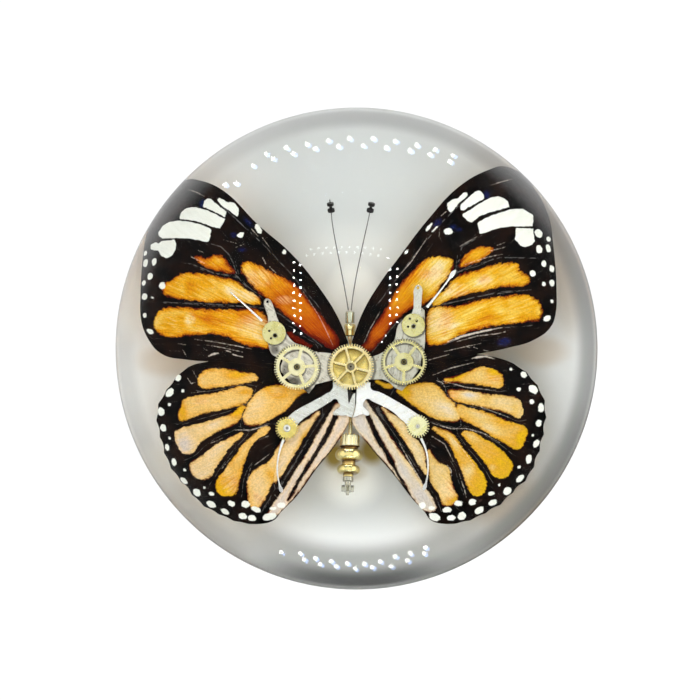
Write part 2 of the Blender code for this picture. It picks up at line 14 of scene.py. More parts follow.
import bpy
import numpy as np
from mathutils import Matrix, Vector
from mathutils.geometry import tessellate_polygon


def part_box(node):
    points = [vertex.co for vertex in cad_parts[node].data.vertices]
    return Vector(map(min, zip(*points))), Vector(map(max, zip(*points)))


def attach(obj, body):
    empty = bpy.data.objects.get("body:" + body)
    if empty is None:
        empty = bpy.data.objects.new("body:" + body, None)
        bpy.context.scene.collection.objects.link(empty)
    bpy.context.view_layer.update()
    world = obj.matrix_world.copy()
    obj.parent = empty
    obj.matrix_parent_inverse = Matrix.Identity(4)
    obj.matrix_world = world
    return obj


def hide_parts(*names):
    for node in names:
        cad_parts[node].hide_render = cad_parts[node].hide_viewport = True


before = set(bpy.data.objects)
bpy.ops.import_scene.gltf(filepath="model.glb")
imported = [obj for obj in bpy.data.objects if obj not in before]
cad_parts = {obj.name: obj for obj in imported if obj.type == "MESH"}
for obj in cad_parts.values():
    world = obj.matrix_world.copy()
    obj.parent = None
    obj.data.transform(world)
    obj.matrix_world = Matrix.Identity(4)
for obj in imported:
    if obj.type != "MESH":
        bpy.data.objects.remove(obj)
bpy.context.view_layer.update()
MM = 0.001


def box_mm(node):
    """Lowest and highest corner of a solid, in millimetres."""
    low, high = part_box(node)
    return np.array(low) / MM, np.array(high) / MM


print(len(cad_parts), "solids loaded")

# %% [markdown]
# ## Camera
#
# The photograph looks down the dome's own axis, with the head at the top. Its frame isn't quite centred
# on the dome, so a very small lens shift moves the picture instead of turning the camera. The distance
# matters more than for an opaque thing: it sets how the dome bends the picture towards its rim.

# %% Camera
PICTURE = 700.0
DOME_PIXEL_CENTRE, DOME_PIXEL_RADIUS = (356.5, 348.5), 241.0
CAMERA_DISTANCE = 450.0
SENSOR = 36.0

dome_low, dome_high = box_mm("glass_dome")
DOME_RADIUS = dome_high[0]
CEILING = dome_high[2] - DOME_RADIUS
edge_angle = math.asin(DOME_RADIUS / CAMERA_DISTANCE)
half_view = math.tan(edge_angle) * PICTURE / 2 / DOME_PIXEL_RADIUS

camera = bpy.data.objects.new("camera", bpy.data.cameras.new("camera"))
bpy.context.scene.collection.objects.link(camera)
bpy.context.scene.camera = camera
camera.location = (0.0, 0.0, (CEILING + CAMERA_DISTANCE) * MM)
camera.data.sensor_width = SENSOR
camera.data.lens = SENSOR / 2 / half_view
camera.data.shift_x = (PICTURE / 2 - DOME_PIXEL_CENTRE[0]) / PICTURE
camera.data.shift_y = (DOME_PIXEL_CENTRE[1] - PICTURE / 2) / PICTURE
camera.data.clip_start, camera.data.clip_end = 0.01, 10.0
print(f"lens {camera.data.lens:.1f} mm")

# %% [markdown]
# ## How the meshes are made
#
# Nearly everything here is one of two things: a flat plate with a rounded edge, or a turned piece. A
# plate is its outline carried up a small rounded section. A turned piece is a profile carried round an
# axis. Both are grids of points, so numpy works them out as whole arrays. A mesh that comes out with its
# faces pointing in has a negative volume, and is then turned round.

# %% Mesh helpers
def signed_volume(points, faces):
    """Six times the volume: for each triangle of each face, the first corner . (second x third)."""
    total = 0.0
    for block in faces:
        for k in range(1, block.shape[1] - 1):
            a, b, c = points[block[:, 0]], points[block[:, k]], points[block[:, k + 1]]
            total += float(np.einsum("ij,ij->i", a, np.cross(b, c)).sum())
    return total


def new_piece(name, node, material, points, faces, flat=()):
    """Makes a mesh from points in millimetres and blocks of faces with 3 or 4 corners each.

    The blocks whose numbers are in flat keep a flat finish, and the others are smooth.
    """
    if signed_volume(points, faces) < 0:
        faces = [block[:, ::-1] for block in faces]
    mesh = bpy.data.meshes.new(name)
    mesh.from_pydata((points * MM).tolist(), [], [f for block in faces for f in block.tolist()])
    smooth = np.concatenate([np.full(len(b), i not in flat) for i, b in enumerate(faces)])
    mesh.polygons.foreach_set("use_smooth", smooth)
    mesh.update()
    piece = bpy.data.objects.new(name, mesh)
    bpy.context.scene.collection.objects.link(piece)
    mesh.materials.append(material)
    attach(piece, "root")
    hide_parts(node)
    return piece


def grid_faces(rows, columns, wrap=True):
    """Quads between each row of a grid and the next; the columns close up when wrap is set."""
    i = np.arange(rows - 1)[:, None] * columns
    j = np.arange(columns if wrap else columns - 1)[None, :]
    k = (j + 1) % columns
    return np.stack([i + j, i + k, i + columns + k, i + columns + j], -1).reshape(-1, 4)


def smooth_loop(points, per_span=8):
    """A closed smooth outline through (x, y) points, except that one marked "corner" stays sharp.

    Each span is a cubic curve. At a smooth point the curve leaves along the sum of the directions to its
    two neighbours, as far as each neighbour's distance over 2.56. At a corner it leaves straight.
    """
    corner = np.array(["corner" in point for point in points])[:, None]
    p = np.array([point[:2] for point in points], float)
    back, ahead = p - np.roll(p, 1, 0), np.roll(p, -1, 0) - p
    back_length = np.linalg.norm(back, axis=1, keepdims=True)
    ahead_length = np.linalg.norm(ahead, axis=1, keepdims=True)
    tangent = back / back_length + ahead / ahead_length
    tangent /= 2.5614 * np.linalg.norm(tangent, axis=1, keepdims=True)
    leave = np.where(corner, p + ahead / 3, p + tangent * ahead_length)
    arrive = np.roll(np.where(corner, p - back / 3, p - tangent * back_length), -1, 0)
    end = np.roll(p, -1, 0)
    t = np.linspace(0, 1, per_span, endpoint=False)[None, :, None]
    p, leave, arrive, end = (a[:, None] for a in (p, leave, arrive, end))
    curve = p * (1 - t)**3 + 3 * leave * t * (1 - t)**2 + 3 * arrive * t**2 * (1 - t) + end * t**3
    return curve.reshape(-1, 2)


def anticlockwise(loop):
    x, y = loop.T
    area = np.sum(x * np.roll(y, -1) - y * np.roll(x, -1))
    return loop if area > 0 else loop[::-1]


def polar(centre, radius, angle):
    return np.stack([centre[0] + radius * np.cos(angle), centre[1] + radius * np.sin(angle)], 1)


def ring(centre, radius, count=40):
    return polar(centre, radius, np.linspace(0, 2 * np.pi, count, endpoint=False))


def inward(loop):
    """The direction into the material at each point, with the mitre's length at a corner."""
    step = np.roll(loop, -1, 0) - loop
    step /= np.linalg.norm(step, axis=1, keepdims=True)
    after = np.stack([-step[:, 1], step[:, 0]], 1)
    before = np.roll(after, 1, 0)
    spread = 1 + np.sum(after * before, axis=1, keepdims=True)
    return (after + before) / np.maximum(spread, 0.6)


EDGE_STEPS, SHARP_ANGLE = 4, 35.0


def plate(name, node, material, outlines, edge=0.05):
    """A flat piece with rounded edges: its first outline is the outside and the others are holes.

    Each outline is carried up a section that starts inset by edge at the bottom, rounds a quarter circle
    out to the full outline, rises, and rounds a quarter circle in again. The two faces are filled in.
    """
    low, high = box_mm(node)
    bottom, top = low[2], high[2]
    turn = np.linspace(0, np.pi / 2, EDGE_STEPS)
    inset = np.concatenate([edge * (1 - np.sin(turn)), edge * (1 - np.cos(turn))])
    height = np.concatenate([bottom + edge * (1 - np.cos(turn)), top - edge * (1 - np.sin(turn))])
    levels = len(inset)
    loops = [anticlockwise(outlines[0])] + [anticlockwise(hole)[::-1] for hole in outlines[1:]]
    points, sides, first = [], [], 0
    bottom_ring, top_ring, bottom_index, top_index = [], [], [], []
    for loop in loops:
        flat = loop[None] + inset[:, None, None] * inward(loop)[None]
        layer = np.concatenate([flat, np.broadcast_to(height[:, None, None], flat[..., :1].shape)], 2)
        count = len(loop)
        points.append(layer.reshape(-1, 3))
        sides.append(grid_faces(levels, count) + first)
        bottom_ring.append(layer[0])
        top_ring.append(layer[-1])
        bottom_index.append(first + np.arange(count))
        top_index.append(first + (levels - 1) * count + np.arange(count))
        first += levels * count
    points = np.concatenate(points)
    caps = [cap_faces(top_ring, top_index, True), cap_faces(bottom_ring, bottom_index, False)]
    return new_piece(name, node, material, points, [np.concatenate(sides), *caps], flat=(1, 2))


def cap_faces(rings, index, facing_up):
    """Triangles that fill a face between its outline and its holes, all turned the same way."""
    found = np.array(tessellate_polygon([[tuple(p) for p in r] for r in rings]))
    at = np.concatenate(rings)
    a, b, c = (at[found[:, k], :2] for k in range(3))
    area = (b[:, 0] - a[:, 0]) * (c[:, 1] - a[:, 1]) - (b[:, 1] - a[:, 1]) * (c[:, 0] - a[:, 0])
    wrong = (area > 0) != facing_up
    found[wrong] = found[wrong][:, ::-1]
    return np.concatenate(index)[found]


def rings_and_poles(name, node, material, rows, poles, flat=()):
    """A closed body of rings of points, with a fan of triangles from each end ring to its pole."""
    count, body = rows.shape[1], rows.reshape(-1, 3)
    points = np.concatenate([body, poles])
    j = np.arange(count)
    k = (j + 1) % count
    last = len(body) - count
    near = np.stack([k, j, np.full(count, len(body))], 1)
    far = np.stack([last + j, last + k, np.full(count, len(body) + 1)], 1)
    return new_piece(name, node, material, points, [grid_faces(len(rows), count), near, far], flat)


def turned(name, node, material, profile, start, end, count=96, cut=None):
    """A turned piece: (radius, distance along the axis) rows carried round the line start to end.

    The profile starts and ends on the axis, and each of those two ends is one point. cut(along, angle)
    may take a depth off the radius, for flutes and teeth.
    """
    rows = np.array(profile[1:-1], float)
    start, end = np.array(start, float), np.array(end, float)
    axis = (end - start) / np.linalg.norm(end - start)
    side = np.cross(axis, [1.0, 0.0, 0.0] if abs(axis[0]) < 0.9 else [0.0, 1.0, 0.0])
    side /= np.linalg.norm(side)
    other = np.cross(axis, side)
    angle = np.linspace(0, 2 * np.pi, count, endpoint=False)
    radius = np.repeat(rows[:, :1], count, axis=1)
    if cut:
        radius = radius - cut(rows[:, 1:], angle[None, :])
    around = np.cos(angle)[None, :, None] * side + np.sin(angle)[None, :, None] * other
    body = start + rows[:, 1, None, None] * axis + radius[..., None] * around
    poles = [start + profile[0][1] * axis, start + profile[-1][1] * axis]
    piece = rings_and_poles(name, node, material, body, poles)
    piece.data.set_sharp_from_angle(angle=math.radians(SHARP_ANGLE))
    return piece


def arc_rows(radius, middle, half_length, steps=18, reach=math.pi / 2):
    """The rounded side of a bead, from its near edge to its far edge."""
    t = np.linspace(-reach, reach, steps)
    return np.stack([radius - half_length * (1 - np.cos(t)), middle + half_length * np.sin(t)], 1).tolist()


# %% [markdown]
# ## How the finishes are made
#
# A finish is a small tree of nodes that ends in one shader. Patterns read the piece's own coordinates in
# metres, or numbers stored on its points, so they stay on it wherever it is seen from. What a node gives
# is wrapped in a small class, so that the sums in a finish read like sums, and a few short helpers make
# the nodes that come up again and again: a smooth step from one number to another, soft spots and rings
# at given places, and a normal that leans a little.

# %% Shader helpers
class Value:
    """What a node gives, so that sums, products and comparisons of it can be written as such."""

    def __init__(self, socket):
        self.socket, self.tree = socket, socket.id_data

    def maths(self, operation, *others):
        return add(self.tree, "ShaderNodeMath", dict(enumerate((self, *others))), operation=operation)


# Python's name for each sign, and the maths node that it stands for.
OPERATIONS = {"add": "ADD", "sub": "SUBTRACT", "mul": "MULTIPLY", "truediv": "DIVIDE", "pow": "POWER",
              "abs": "ABSOLUTE", "gt": "GREATER_THAN", "lt": "LESS_THAN"}
for sign, operation in OPERATIONS.items():
    setattr(Value, f"__{sign}__", partialmethod(Value.maths, operation))


def put(socket, value):
    """Sets an input, or links it when the value comes from another node."""
    if isinstance(value, Value):
        socket.id_data.links.new(value.socket, socket)
    elif isinstance(value, tuple) and len(value) == 3 and len(socket.default_value) == 4:
        socket.default_value = (*value, 1.0)
    else:
        socket.default_value = value


def add(tree, kind, inputs, output=0, **settings):
    """Adds a node, sets it up and returns one of its outputs."""
    made = tree.nodes.new(kind)
    for name, value in settings.items():
        setattr(made, name, value)
    for key, value in inputs.items():
        put(made.inputs[key], value)
    return Value(made.outputs[output])


def vector(operation, first, *others, output=0):
    return add(first.tree, "ShaderNodeVectorMath", dict(enumerate((first, *others))), output,
               operation=operation)


def scale(arrow, amount):
    return add(amount.tree, "ShaderNodeVectorMath", {0: arrow, 3: amount}, operation="SCALE")


def parts(arrow):
    """The three numbers of a vector."""
    made = arrow.tree.nodes.new("ShaderNodeSeparateXYZ")
    put(made.inputs[0], arrow)
    return [Value(socket) for socket in made.outputs]


def noise(where, size, detail=3.0, stretch=None):
    """Cloudy values about 0.5; stretch makes them longer along some directions."""
    if stretch:
        where = vector("MULTIPLY", where, stretch)
    return add(where.tree, "ShaderNodeTexNoise", {"Vector": where, "Scale": size, "Detail": detail})


def soft_step(value, low, high, to_low=0.0, to_high=1.0):
    return add(value.tree, "ShaderNodeMapRange", {0: value, 1: low, 2: high, 3: to_low, 4: to_high},
               interpolation_type="SMOOTHSTEP")


def either(share, first, second):
    """From the first number at 0 to the second at 1."""
    return add(share.tree, "ShaderNodeMix", {0: share, 2: first, 3: second})


def mix(share, first, second):
    """From the first colour at 0 to the second at 1."""
    made = share.tree.nodes.new("ShaderNodeMix")
    made.data_type = "RGBA"
    put(made.inputs["Factor"], share)
    for name, value in (("A", first), ("B", second)):
        put([s for s in made.inputs if s.name == name and s.type == "RGBA"][0], value)
    return Value([s for s in made.outputs if s.type == "RGBA"][0])


def colour_row(share, stops):
    """A run of colours: each stop is its place from 0 to 1 and its colour."""
    made = share.tree.nodes.new("ShaderNodeValToRGB")
    row = made.color_ramp.elements
    while len(row) < len(stops):
        row.new(0.5)
    for element, (place, colour) in zip(row, stops):
        element.position = place
        element.color = (*colour, 1.0)
    put(made.inputs[0], share)
    return Value(made.outputs[0])


def bump(height, depth):
    """A normal from a height that goes from 0 to 1 over depth millimetres."""
    return add(height.tree, "ShaderNodeBump", {"Height": height, "Distance": depth * MM, "Strength": 1.0})


def new_material(name, colour=(0.8, 0.8, 0.8), roughness=0.5, metallic=0.0):
    material = bpy.data.materials.new(name)
    material.use_nodes = True
    inputs = material.node_tree.nodes["Principled BSDF"].inputs
    for key, value in (("Base Color", colour), ("Roughness", roughness), ("Metallic", metallic)):
        put(inputs[key], value)
    return material, material.node_tree, inputs


def place_on(tree):
    return add(tree, "ShaderNodeTexCoord", {}, output=3)


def stored(tree, name, output="Fac"):
    """A number kept on the points of a mesh, or three of them when the output is "Vector"."""
    return add(tree, "ShaderNodeAttribute", {}, output, attribute_name=name)


def light_path(tree):
    """What is known about the path that looks at a surface or at the sky."""
    return {socket.name: Value(socket) for socket in tree.nodes.new("ShaderNodeLightPath").outputs}


def highest(values):
    result = values[0]
    for value in values[1:]:
        result = result.maths("MAXIMUM", value)
    return result


def from_centre(here, centre, squeeze=(1.0, 1.0)):
    """The level offset in metres from a place in millimetres, squeezed along x and y, and its length."""
    offset = vector("SUBTRACT", here, (centre[0] * MM, centre[1] * MM, 0.0))
    offset = vector("MULTIPLY", offset, (*squeeze, 0.0))
    return offset, vector("LENGTH", offset, output=1)


def soft_spots(here, spots):
    """Each spot's strength in its middle, 0 outside: x, y, radius along x, radius along y, strength."""
    heights = []
    for x, y, wide, high, strength in spots:
        distance = from_centre(here, (x, y), (1 / wide / MM, 1 / high / MM))[1]
        heights.append(soft_step(distance, 0.35, 1.0, strength, 0.0))
    return highest(heights)


def soft_rings(here, rings):
    """Each ring's strength along its middle, 0 off it: x, y, radius, width and strength."""
    heights = []
    for x, y, radius, width, strength in rings:
        off = abs(from_centre(here, (x, y))[1] - radius * MM)
        heights.append(soft_step(off, 0.2 * width * MM, width * MM, strength, 0.0))
    return highest(heights)


def leaned(direction, amount):
    """The surface's own normal, leant a little along a direction."""
    own = add(amount.tree, "ShaderNodeNewGeometry", {}, output="Normal")
    return vector("NORMALIZE", vector("ADD", own, scale(direction, amount)))

# %% [markdown]
# ## The dome
#
# The case is one solid piece of glass: a half ball on a short straight skirt, ground out from below to a
# shallow round recess. Looking straight down, the ball magnifies what lies in the recess and squeezes
# the picture together at its rim. All of that comes from the shape and from the glass's index alone, so
# the surface has to be very round: many steps, with smooth normals on the ball and sharp edges.

# %% Dome
GLASS_INDEX = 1.5
glass, tree, inputs = new_material("clear_glass", (0.985, 1.0, 0.99), 0.0)
put(inputs["Transmission Weight"], 1.0)
put(inputs["IOR"], GLASS_INDEX)

RECESS_RADIUS = 44.0
SKIRT_EDGE = 0.6
BALL_ROWS, ROUND_STEPS = 150, 256
quarter = np.linspace(0, np.pi / 2, BALL_ROWS)
ball = np.stack([DOME_RADIUS * np.sin(quarter), CEILING + DOME_RADIUS * np.cos(quarter)], 1)
bend = np.linspace(0, np.pi / 2, 6)
glass_bottom = dome_low[2]
skirt = np.stack([DOME_RADIUS - SKIRT_EDGE * (1 - np.cos(bend)),
                  glass_bottom + SKIRT_EDGE * (1 - np.sin(bend))], 1)
dome_profile = [*ball.tolist(), *skirt.tolist(), (RECESS_RADIUS, glass_bottom),
                (RECESS_RADIUS, CEILING), (0.0, CEILING)]
turned("dome", "glass_dome", glass, dome_profile, (0, 0, 0), (0, 0, 1), ROUND_STEPS)
print(f"dome {2 * DOME_RADIUS:.0f} mm across, index {GLASS_INDEX}")

# %% [markdown]
# ## The white board and the post
#
# Below the glass lies a plain white board, and a small white post holds the body clear of it. Both are
# matt, with the faint unevenness of paper, so that the wings' soft shadows show. The rest of the board's
# light and shade is painted: painted light makes it lighter outside, most of all in the west, and painted
# shade makes it greyer in the far south. A grey band of painted shade at 27 to 34 mm gives the dome its
# dark rim. Painted beige shadows lie beside the wings, a painted golden shade beside the tail, and
# painted light makes some places between the wings pale.

# %% Board and post
# Painted warm shadows of the wings on the board: x, y, radius along x, radius along y, strength.
WING_SHADOW_SPOTS = [
    (23.2, -0.4, 4.5, 2.6, 0.5), (26.6, 7.5, 2.4, 8.0, 0.35), (-24.0, -1.6, 4.5, 2.6, 0.45),
    (18.5, -19.0, 8.0, 4.5, 0.5), (-20.0, -19.0, 7.0, 4.0, 0.2),
]
# Painted golden shade beside the brass tail.
TAIL_SHADE_SPOTS = [(-2.8, -13.6, 1.8, 2.3, 0.95), (2.0, -13.0, 2.3, 2.4, 0.95), (-0.6, -15.6, 2.6, 1.6, 0.3)]
# Painted light on places that the wings and the body shade.
LIT_SPOTS = [
    (-28.0, 5.8, 3.0, 6.0, 0.7), (-24.0, -14.5, 4.0, 4.0, 0.4), (-0.4, 5.5, 6.0, 8.5, 1.0),
    (-0.5, 10.5, 11.0, 7.0, 0.42), (-0.7, -16.6, 5.0, 4.6, 0.9),
]
# Painted light and shade of the board: a lighter outer zone, and greyer far south and rim band.
INNER_GREYS = (0.61, 0.63, 0.61), (0.66, 0.67, 0.65)
OUTER_LIGHT_NORTH, OUTER_LIGHT_WEST, OUTER_LIGHT_OTHER = (0.62, 0.63, 0.61), (0.98, 0.98, 0.96), (0.9, 0.9, 0.88)
SOUTH_SHADE, RIM_SHADE_COLOUR = (0.41, 0.41, 0.39), (1.0, 1.0, 0.97)
WING_SHADOW_TONE, TAIL_SHADE_TONE, LIT_SPOT_TONE = (0.66, 0.52, 0.36), (0.36, 0.25, 0.02), (0.98, 0.98, 0.93)
OUTER_FROM, SOUTH_FROM, RIM_FROM, RIM_TO = (19.0, 25.5), (23.6, 26.2), (27.0, 28.4), (29.0, 34.0)
RIM_SHADE_LEVEL, RIM_EASTWARD, RIM_FAR_NORTH, RIM_FAR_SOUTH = 0.55, -0.165, 0.64, 0.14

white, tree, inputs = new_material("white_board", (0.86, 0.87, 0.85), 0.75)
here = place_on(tree)
reach = from_centre(here, (0.0, 0.0))[1] * (1 / MM)
east, north, _ = parts(vector("NORMALIZE", here))
paper = mix(noise(here, 40.0, 2.0), *INNER_GREYS)
# Painted light: the outer board is lighter, most of all in the west.
outer = mix(soft_step(east, -0.3, -0.9), OUTER_LIGHT_NORTH, OUTER_LIGHT_WEST)
outer = mix(soft_step(east, 0.3, 0.9), outer, OUTER_LIGHT_OTHER)
outer = mix(soft_step(north, -0.5, -0.9), outer, OUTER_LIGHT_OTHER)
paper = mix(soft_step(reach, *OUTER_FROM), paper, outer)
# Painted shade: the far south of the board is greyer.
south = soft_step(north, -0.76, -1.0) * soft_step(reach, *SOUTH_FROM)
paper = mix(south, paper, SOUTH_SHADE)
# Painted warm shadows beside the wings.
paper = mix(soft_spots(here, WING_SHADOW_SPOTS), paper, WING_SHADOW_TONE)
# Painted shade: a grey band at the rim, lightest in the west and darkest in the far south.
rim_shade = east * RIM_EASTWARD + RIM_SHADE_LEVEL
rim_shade *= soft_step(north, 0.7, 1.0, 1.0, RIM_FAR_NORTH)
rim_shade *= soft_step(north, -0.88, -1.0, 1.0, RIM_FAR_SOUTH)
in_rim = soft_step(reach, *RIM_FROM) * soft_step(reach, *RIM_TO, 1.0, 0.0)
paper = mix(in_rim, paper, scale(RIM_SHADE_COLOUR, rim_shade))
# Painted light on places between the wings.
paper = mix(soft_spots(here, LIT_SPOTS), paper, LIT_SPOT_TONE)
# Painted golden shade beside the tail.
put(inputs["Base Color"], mix(soft_spots(here, TAIL_SHADE_SPOTS), paper, TAIL_SHADE_TONE))
put(inputs["Normal"], bump(noise(here, 900.0, 4.0), 0.02))

board_high = box_mm("base_disc")[1]
board_radius, board_top = board_high[0], board_high[2]
BOARD_EDGE, TOP_BEVEL = 0.6, 0.1
under = np.stack([board_radius - BOARD_EDGE * (1 - np.sin(bend)), BOARD_EDGE * (1 - np.cos(bend))], 1)
board_profile = [(0.0, 0.0), *under.tolist(), (board_radius, board_top - TOP_BEVEL),
                 (board_radius - TOP_BEVEL, board_top), (0.0, board_top)]
turned("board", "base_disc", white, board_profile, (0, 0, 0), (0, 0, 1), ROUND_STEPS)

post_low, post_high = box_mm("mounting_post")
post_centre = (post_low + post_high) / 2
POST_RADIUS, PAD_HEIGHT = 1.6, 0.8
pad_radius, post_height = (post_high[0] - post_low[0]) / 2, post_high[2] - post_low[2]
post_profile = [(0.0, 0.0), (pad_radius, 0.0), (pad_radius, PAD_HEIGHT), (POST_RADIUS, PAD_HEIGHT),
                (POST_RADIUS, post_height), (0.0, post_height)]
post_start = (post_centre[0], post_centre[1], post_low[2])
turned("post", "mounting_post", white, post_profile, post_start,
       (post_centre[0], post_centre[1], CEILING))

# %% [markdown]
# ## Metals
#
# The trim is old watch parts. The wheels are pale polished brass with fine turning lines round their
# centres, the bridges and levers are nickel with short grinding marks, and the hands and tubes are
# polished steel. A metal's look is mostly what it mirrors, so most colours are plain, and the detail is
# in the roughness and in normals that lean a little. Three things are painted all the same. The wheels'
# shadows are painted as soft dark rings on the bridges, with spots of painted shade under the discs'
# holes and beside the wheels. The ferrule and the finial have painted dark bands where they mirror the
# dark room. And the pins have painted rings of highlight and shade round their middles.

# %% Metals
CENTRE, LEFT, RIGHT = (-0.78, -2.5), (-8.2, -2.55), (6.52, -1.85)
GEAR_LEFT, GEAR_RIGHT = (-9.55, -10.95), (8.4, -10.65)
DISH_REACH = 2.4
OLIVE_SHADE, SPOT_SHADE, RING_SHADE = (0.16, 0.09, 0.002), (0.02, 0.015, 0.01), (0.06, 0.05, 0.03)


def brass(name, colour, roughness=0.2, centre=None, slope=0.0, rings=0.35, darkened=None):
    """Polished brass with cloudy tarnish, and turning marks round a centre where there is one.

    The marks lean the normal in and out along the radius, and a dish leans it by its slope as well.
    shadowed names a number stored on the points, 0 for lit brass and 1 for the painted dark olive shadow.
    """
    material, tree, inputs = new_material(name, colour, roughness, 1.0)
    here = place_on(tree)
    tarnish = noise(here, 900.0, 4.0)
    darker = tuple(c * k for c, k in zip(colour, (0.86, 0.84, 0.72)))
    plain = mix(soft_step(tarnish, 0.36, 0.6), darker, colour)
    # Painted shadow of the centre wheel on the dish, darkening it to olive.
    if darkened:
        plain = mix(stored(tree, darkened), plain, OLIVE_SHADE)
    put(inputs["Base Color"], plain)
    put(inputs["Roughness"], soft_step(tarnish, 0.3, 0.7, roughness - 0.06, roughness + 0.1))
    if centre is None:
        put(inputs["Normal"], bump(noise(here, 4000.0, 2.0), 0.004))
        return material
    offset, reach = from_centre(here, centre)
    circles = noise(add(tree, "ShaderNodeCombineXYZ", {0: reach}), 6500.0, 2.0)
    bowl = (reach * (1 / DISH_REACH / MM)) ** 1.5 * slope
    put(inputs["Normal"], leaned(vector("NORMALIZE", offset), (circles - 0.5) * rings + bowl))
    return material


def ground_nickel(name, colour, roughness=0.3, turn=0.6, marks=0.5, shade_spots=(), shadows=(), worn=0.92):
    """Nickel with fine grinding marks along one direction, painted shade spots, and the wheels' painted ring
    shadows.
    """
    material, tree, inputs = new_material(name, colour, roughness, 1.0)
    here = place_on(tree)
    along = add(tree, "ShaderNodeMapping", {"Vector": here, "Rotation": (0.0, 0.0, turn)})
    lines = noise(along, 5200.0, 2.0, stretch=(0.05, 1.0, 1.0))
    dull = noise(here, 1300.0, 3.0)
    darker = tuple(c * k * worn for c, k in zip(colour, (1.0, 0.985, 0.95)))
    plain = mix(soft_step((lines - 0.5) * 0.8 + dull, 0.34, 0.58), darker, colour)
    # Painted shade: dark spots under the discs' holes and beside the wheels.
    if shade_spots:
        plain = mix(soft_spots(here, shade_spots), plain, SPOT_SHADE)
    if shadows:
        plain = mix(soft_rings(here, shadows), plain, RING_SHADE)
    put(inputs["Base Color"], plain)
    put(inputs["Roughness"], soft_step(dull, 0.35, 0.7, roughness - 0.05, roughness + 0.12))
    put(inputs["Normal"], leaned((math.sin(turn), math.cos(turn), 0.0), (lines - 0.5) * marks))
    return material


def steel(name, colour, roughness):
    """Polished steel with faint marks."""
    material, tree, inputs = new_material(name, colour, roughness, 1.0)
    marks = noise(place_on(tree), 3000.0, 3.0)
    put(inputs["Roughness"], soft_step(marks, 0.3, 0.7, roughness - 0.05, roughness + 0.08))
    put(inputs["Normal"], bump(marks, 0.003))
    return material


def pivot_steel(name, centre, stops, tint=(1.0, 0.97, 0.9)):
    """A turned pin: painted rings of highlight and shade, given by their radius in millimetres."""
    material, tree, inputs = new_material(name, (0.5, 0.5, 0.5), 0.32, 1.0)
    reach = from_centre(place_on(tree), centre)[1]
    stops = [(radius, tuple(tone * t for t in tint)) for radius, tone in stops]
    put(inputs["Base Color"], colour_row(reach * (1 / MM), stops))
    return material


def banded_brass(name, start, length, stops, roughness):
    """Turned brass along +y: each stop is its share of the length and its colour."""
    material, tree, inputs = new_material(name, (0.5, 0.5, 0.5), roughness, 1.0)
    along = (parts(place_on(tree))[1] - start * MM) / (length * MM)
    put(inputs["Base Color"], colour_row(along, stops))
    return material


wheel_brass = brass("wheel_brass", (0.96, 0.82, 0.45), 0.24, CENTRE)
dish_brass = brass("dish_brass", (1.0, 0.8, 0.28), 0.22, CENTRE, -0.14, 0.2, "shade")
cream_wheel = brass("cream_wheel", (0.95, 0.88, 0.55), 0.28, LEFT)
green_wheel = brass("green_wheel", (0.82, 0.76, 0.4), 0.26, RIGHT)
green_brass = brass("green_brass", (0.78, 0.73, 0.36), 0.26)
gear_brass = brass("gear_brass", (0.92, 0.76, 0.26), 0.24, GEAR_LEFT)
pale_gear_brass = brass("pale_gear_brass", (1.0, 0.97, 0.6), 0.3, GEAR_RIGHT, 0.0, 0.2)

# The dark band is a painted reflection of the dark room.
HEAD_PALE, HEAD_DARK_REFLECTION = (0.98, 0.9, 0.66), (0.12, 0.09, 0.03)
head_brass = banded_brass("head_brass", 0.3, 3.0, [
    (0.0, HEAD_PALE), (0.43, HEAD_PALE), (0.46, HEAD_DARK_REFLECTION), (0.49, HEAD_DARK_REFLECTION), (0.52, (1.0, 0.86, 0.4)),
    (1.0, (1.0, 0.88, 0.46)),
], 0.26)
# The dark bands are painted reflections of the dark room.
TAIL_PALE, TAIL_GOLD, TAIL_DARK_REFLECTION = (1.0, 0.92, 0.58), (0.94, 0.79, 0.34), (0.16, 0.07, 0.015)
tail_brass = banded_brass("tail_brass", -8.7, -8.43, [
    (0.0, (1.0, 0.9, 0.55)), (0.33, TAIL_PALE), (0.51, TAIL_PALE), (0.525, TAIL_DARK_REFLECTION), (0.55, TAIL_DARK_REFLECTION),
    (0.58, TAIL_GOLD), (0.73, TAIL_GOLD), (0.755, TAIL_DARK_REFLECTION), (0.79, (0.6, 0.4, 0.14)),
    (0.83, TAIL_GOLD), (0.93, TAIL_GOLD), (0.965, TAIL_DARK_REFLECTION), (1.0, TAIL_GOLD),
], 0.15)

# Painted shade spots under the discs' holes and beside the wheels: x, y, radii and strength.
LEFT_SHADE_SPOTS = [
    (-12.0, 2.42, 0.3, 0.3, 1.0), (-11.75, 1.4, 0.3, 0.3, 1.0), (-11.2, -0.2, 0.9, 0.9, 0.75),
    (-9.7, -2.9, 0.8, 1.3, 0.6), (-8.6, -4.5, 1.5, 0.9, 0.8), (-6.7, -5.6, 0.9, 0.8, 0.7),
]
RIGHT_SHADE_SPOTS = [
    (7.1, 3.0, 0.3, 0.3, 1.0), (7.35, 4.1, 0.3, 0.3, 1.0), (8.3, 3.8, 0.3, 0.3, 1.0),
    (8.6, -2.6, 0.6, 1.2, 0.5), (6.2, -5.2, 0.8, 0.6, 0.4),
]
LEFT_SHADOWS = [
    (-8.08, -2.7, 2.42, 0.2, 0.85), (-8.08, -2.7, 1.12, 0.2, 0.7), (-8.1, -2.68, 3.1, 0.25, 0.8),
    (-11.25, 2.05, 1.6, 0.25, 0.7), (-0.66, -2.62, 3.2, 0.3, 0.7),
]
RIGHT_SHADOWS = [
    (6.62, -1.99, 2.6, 0.2, 0.8), (6.62, -1.99, 1.22, 0.2, 0.6), (6.6, -1.95, 3.12, 0.25, 0.7),
    (7.9, 3.12, 1.58, 0.25, 0.7), (-0.66, -2.62, 3.2, 0.3, 0.7),
]
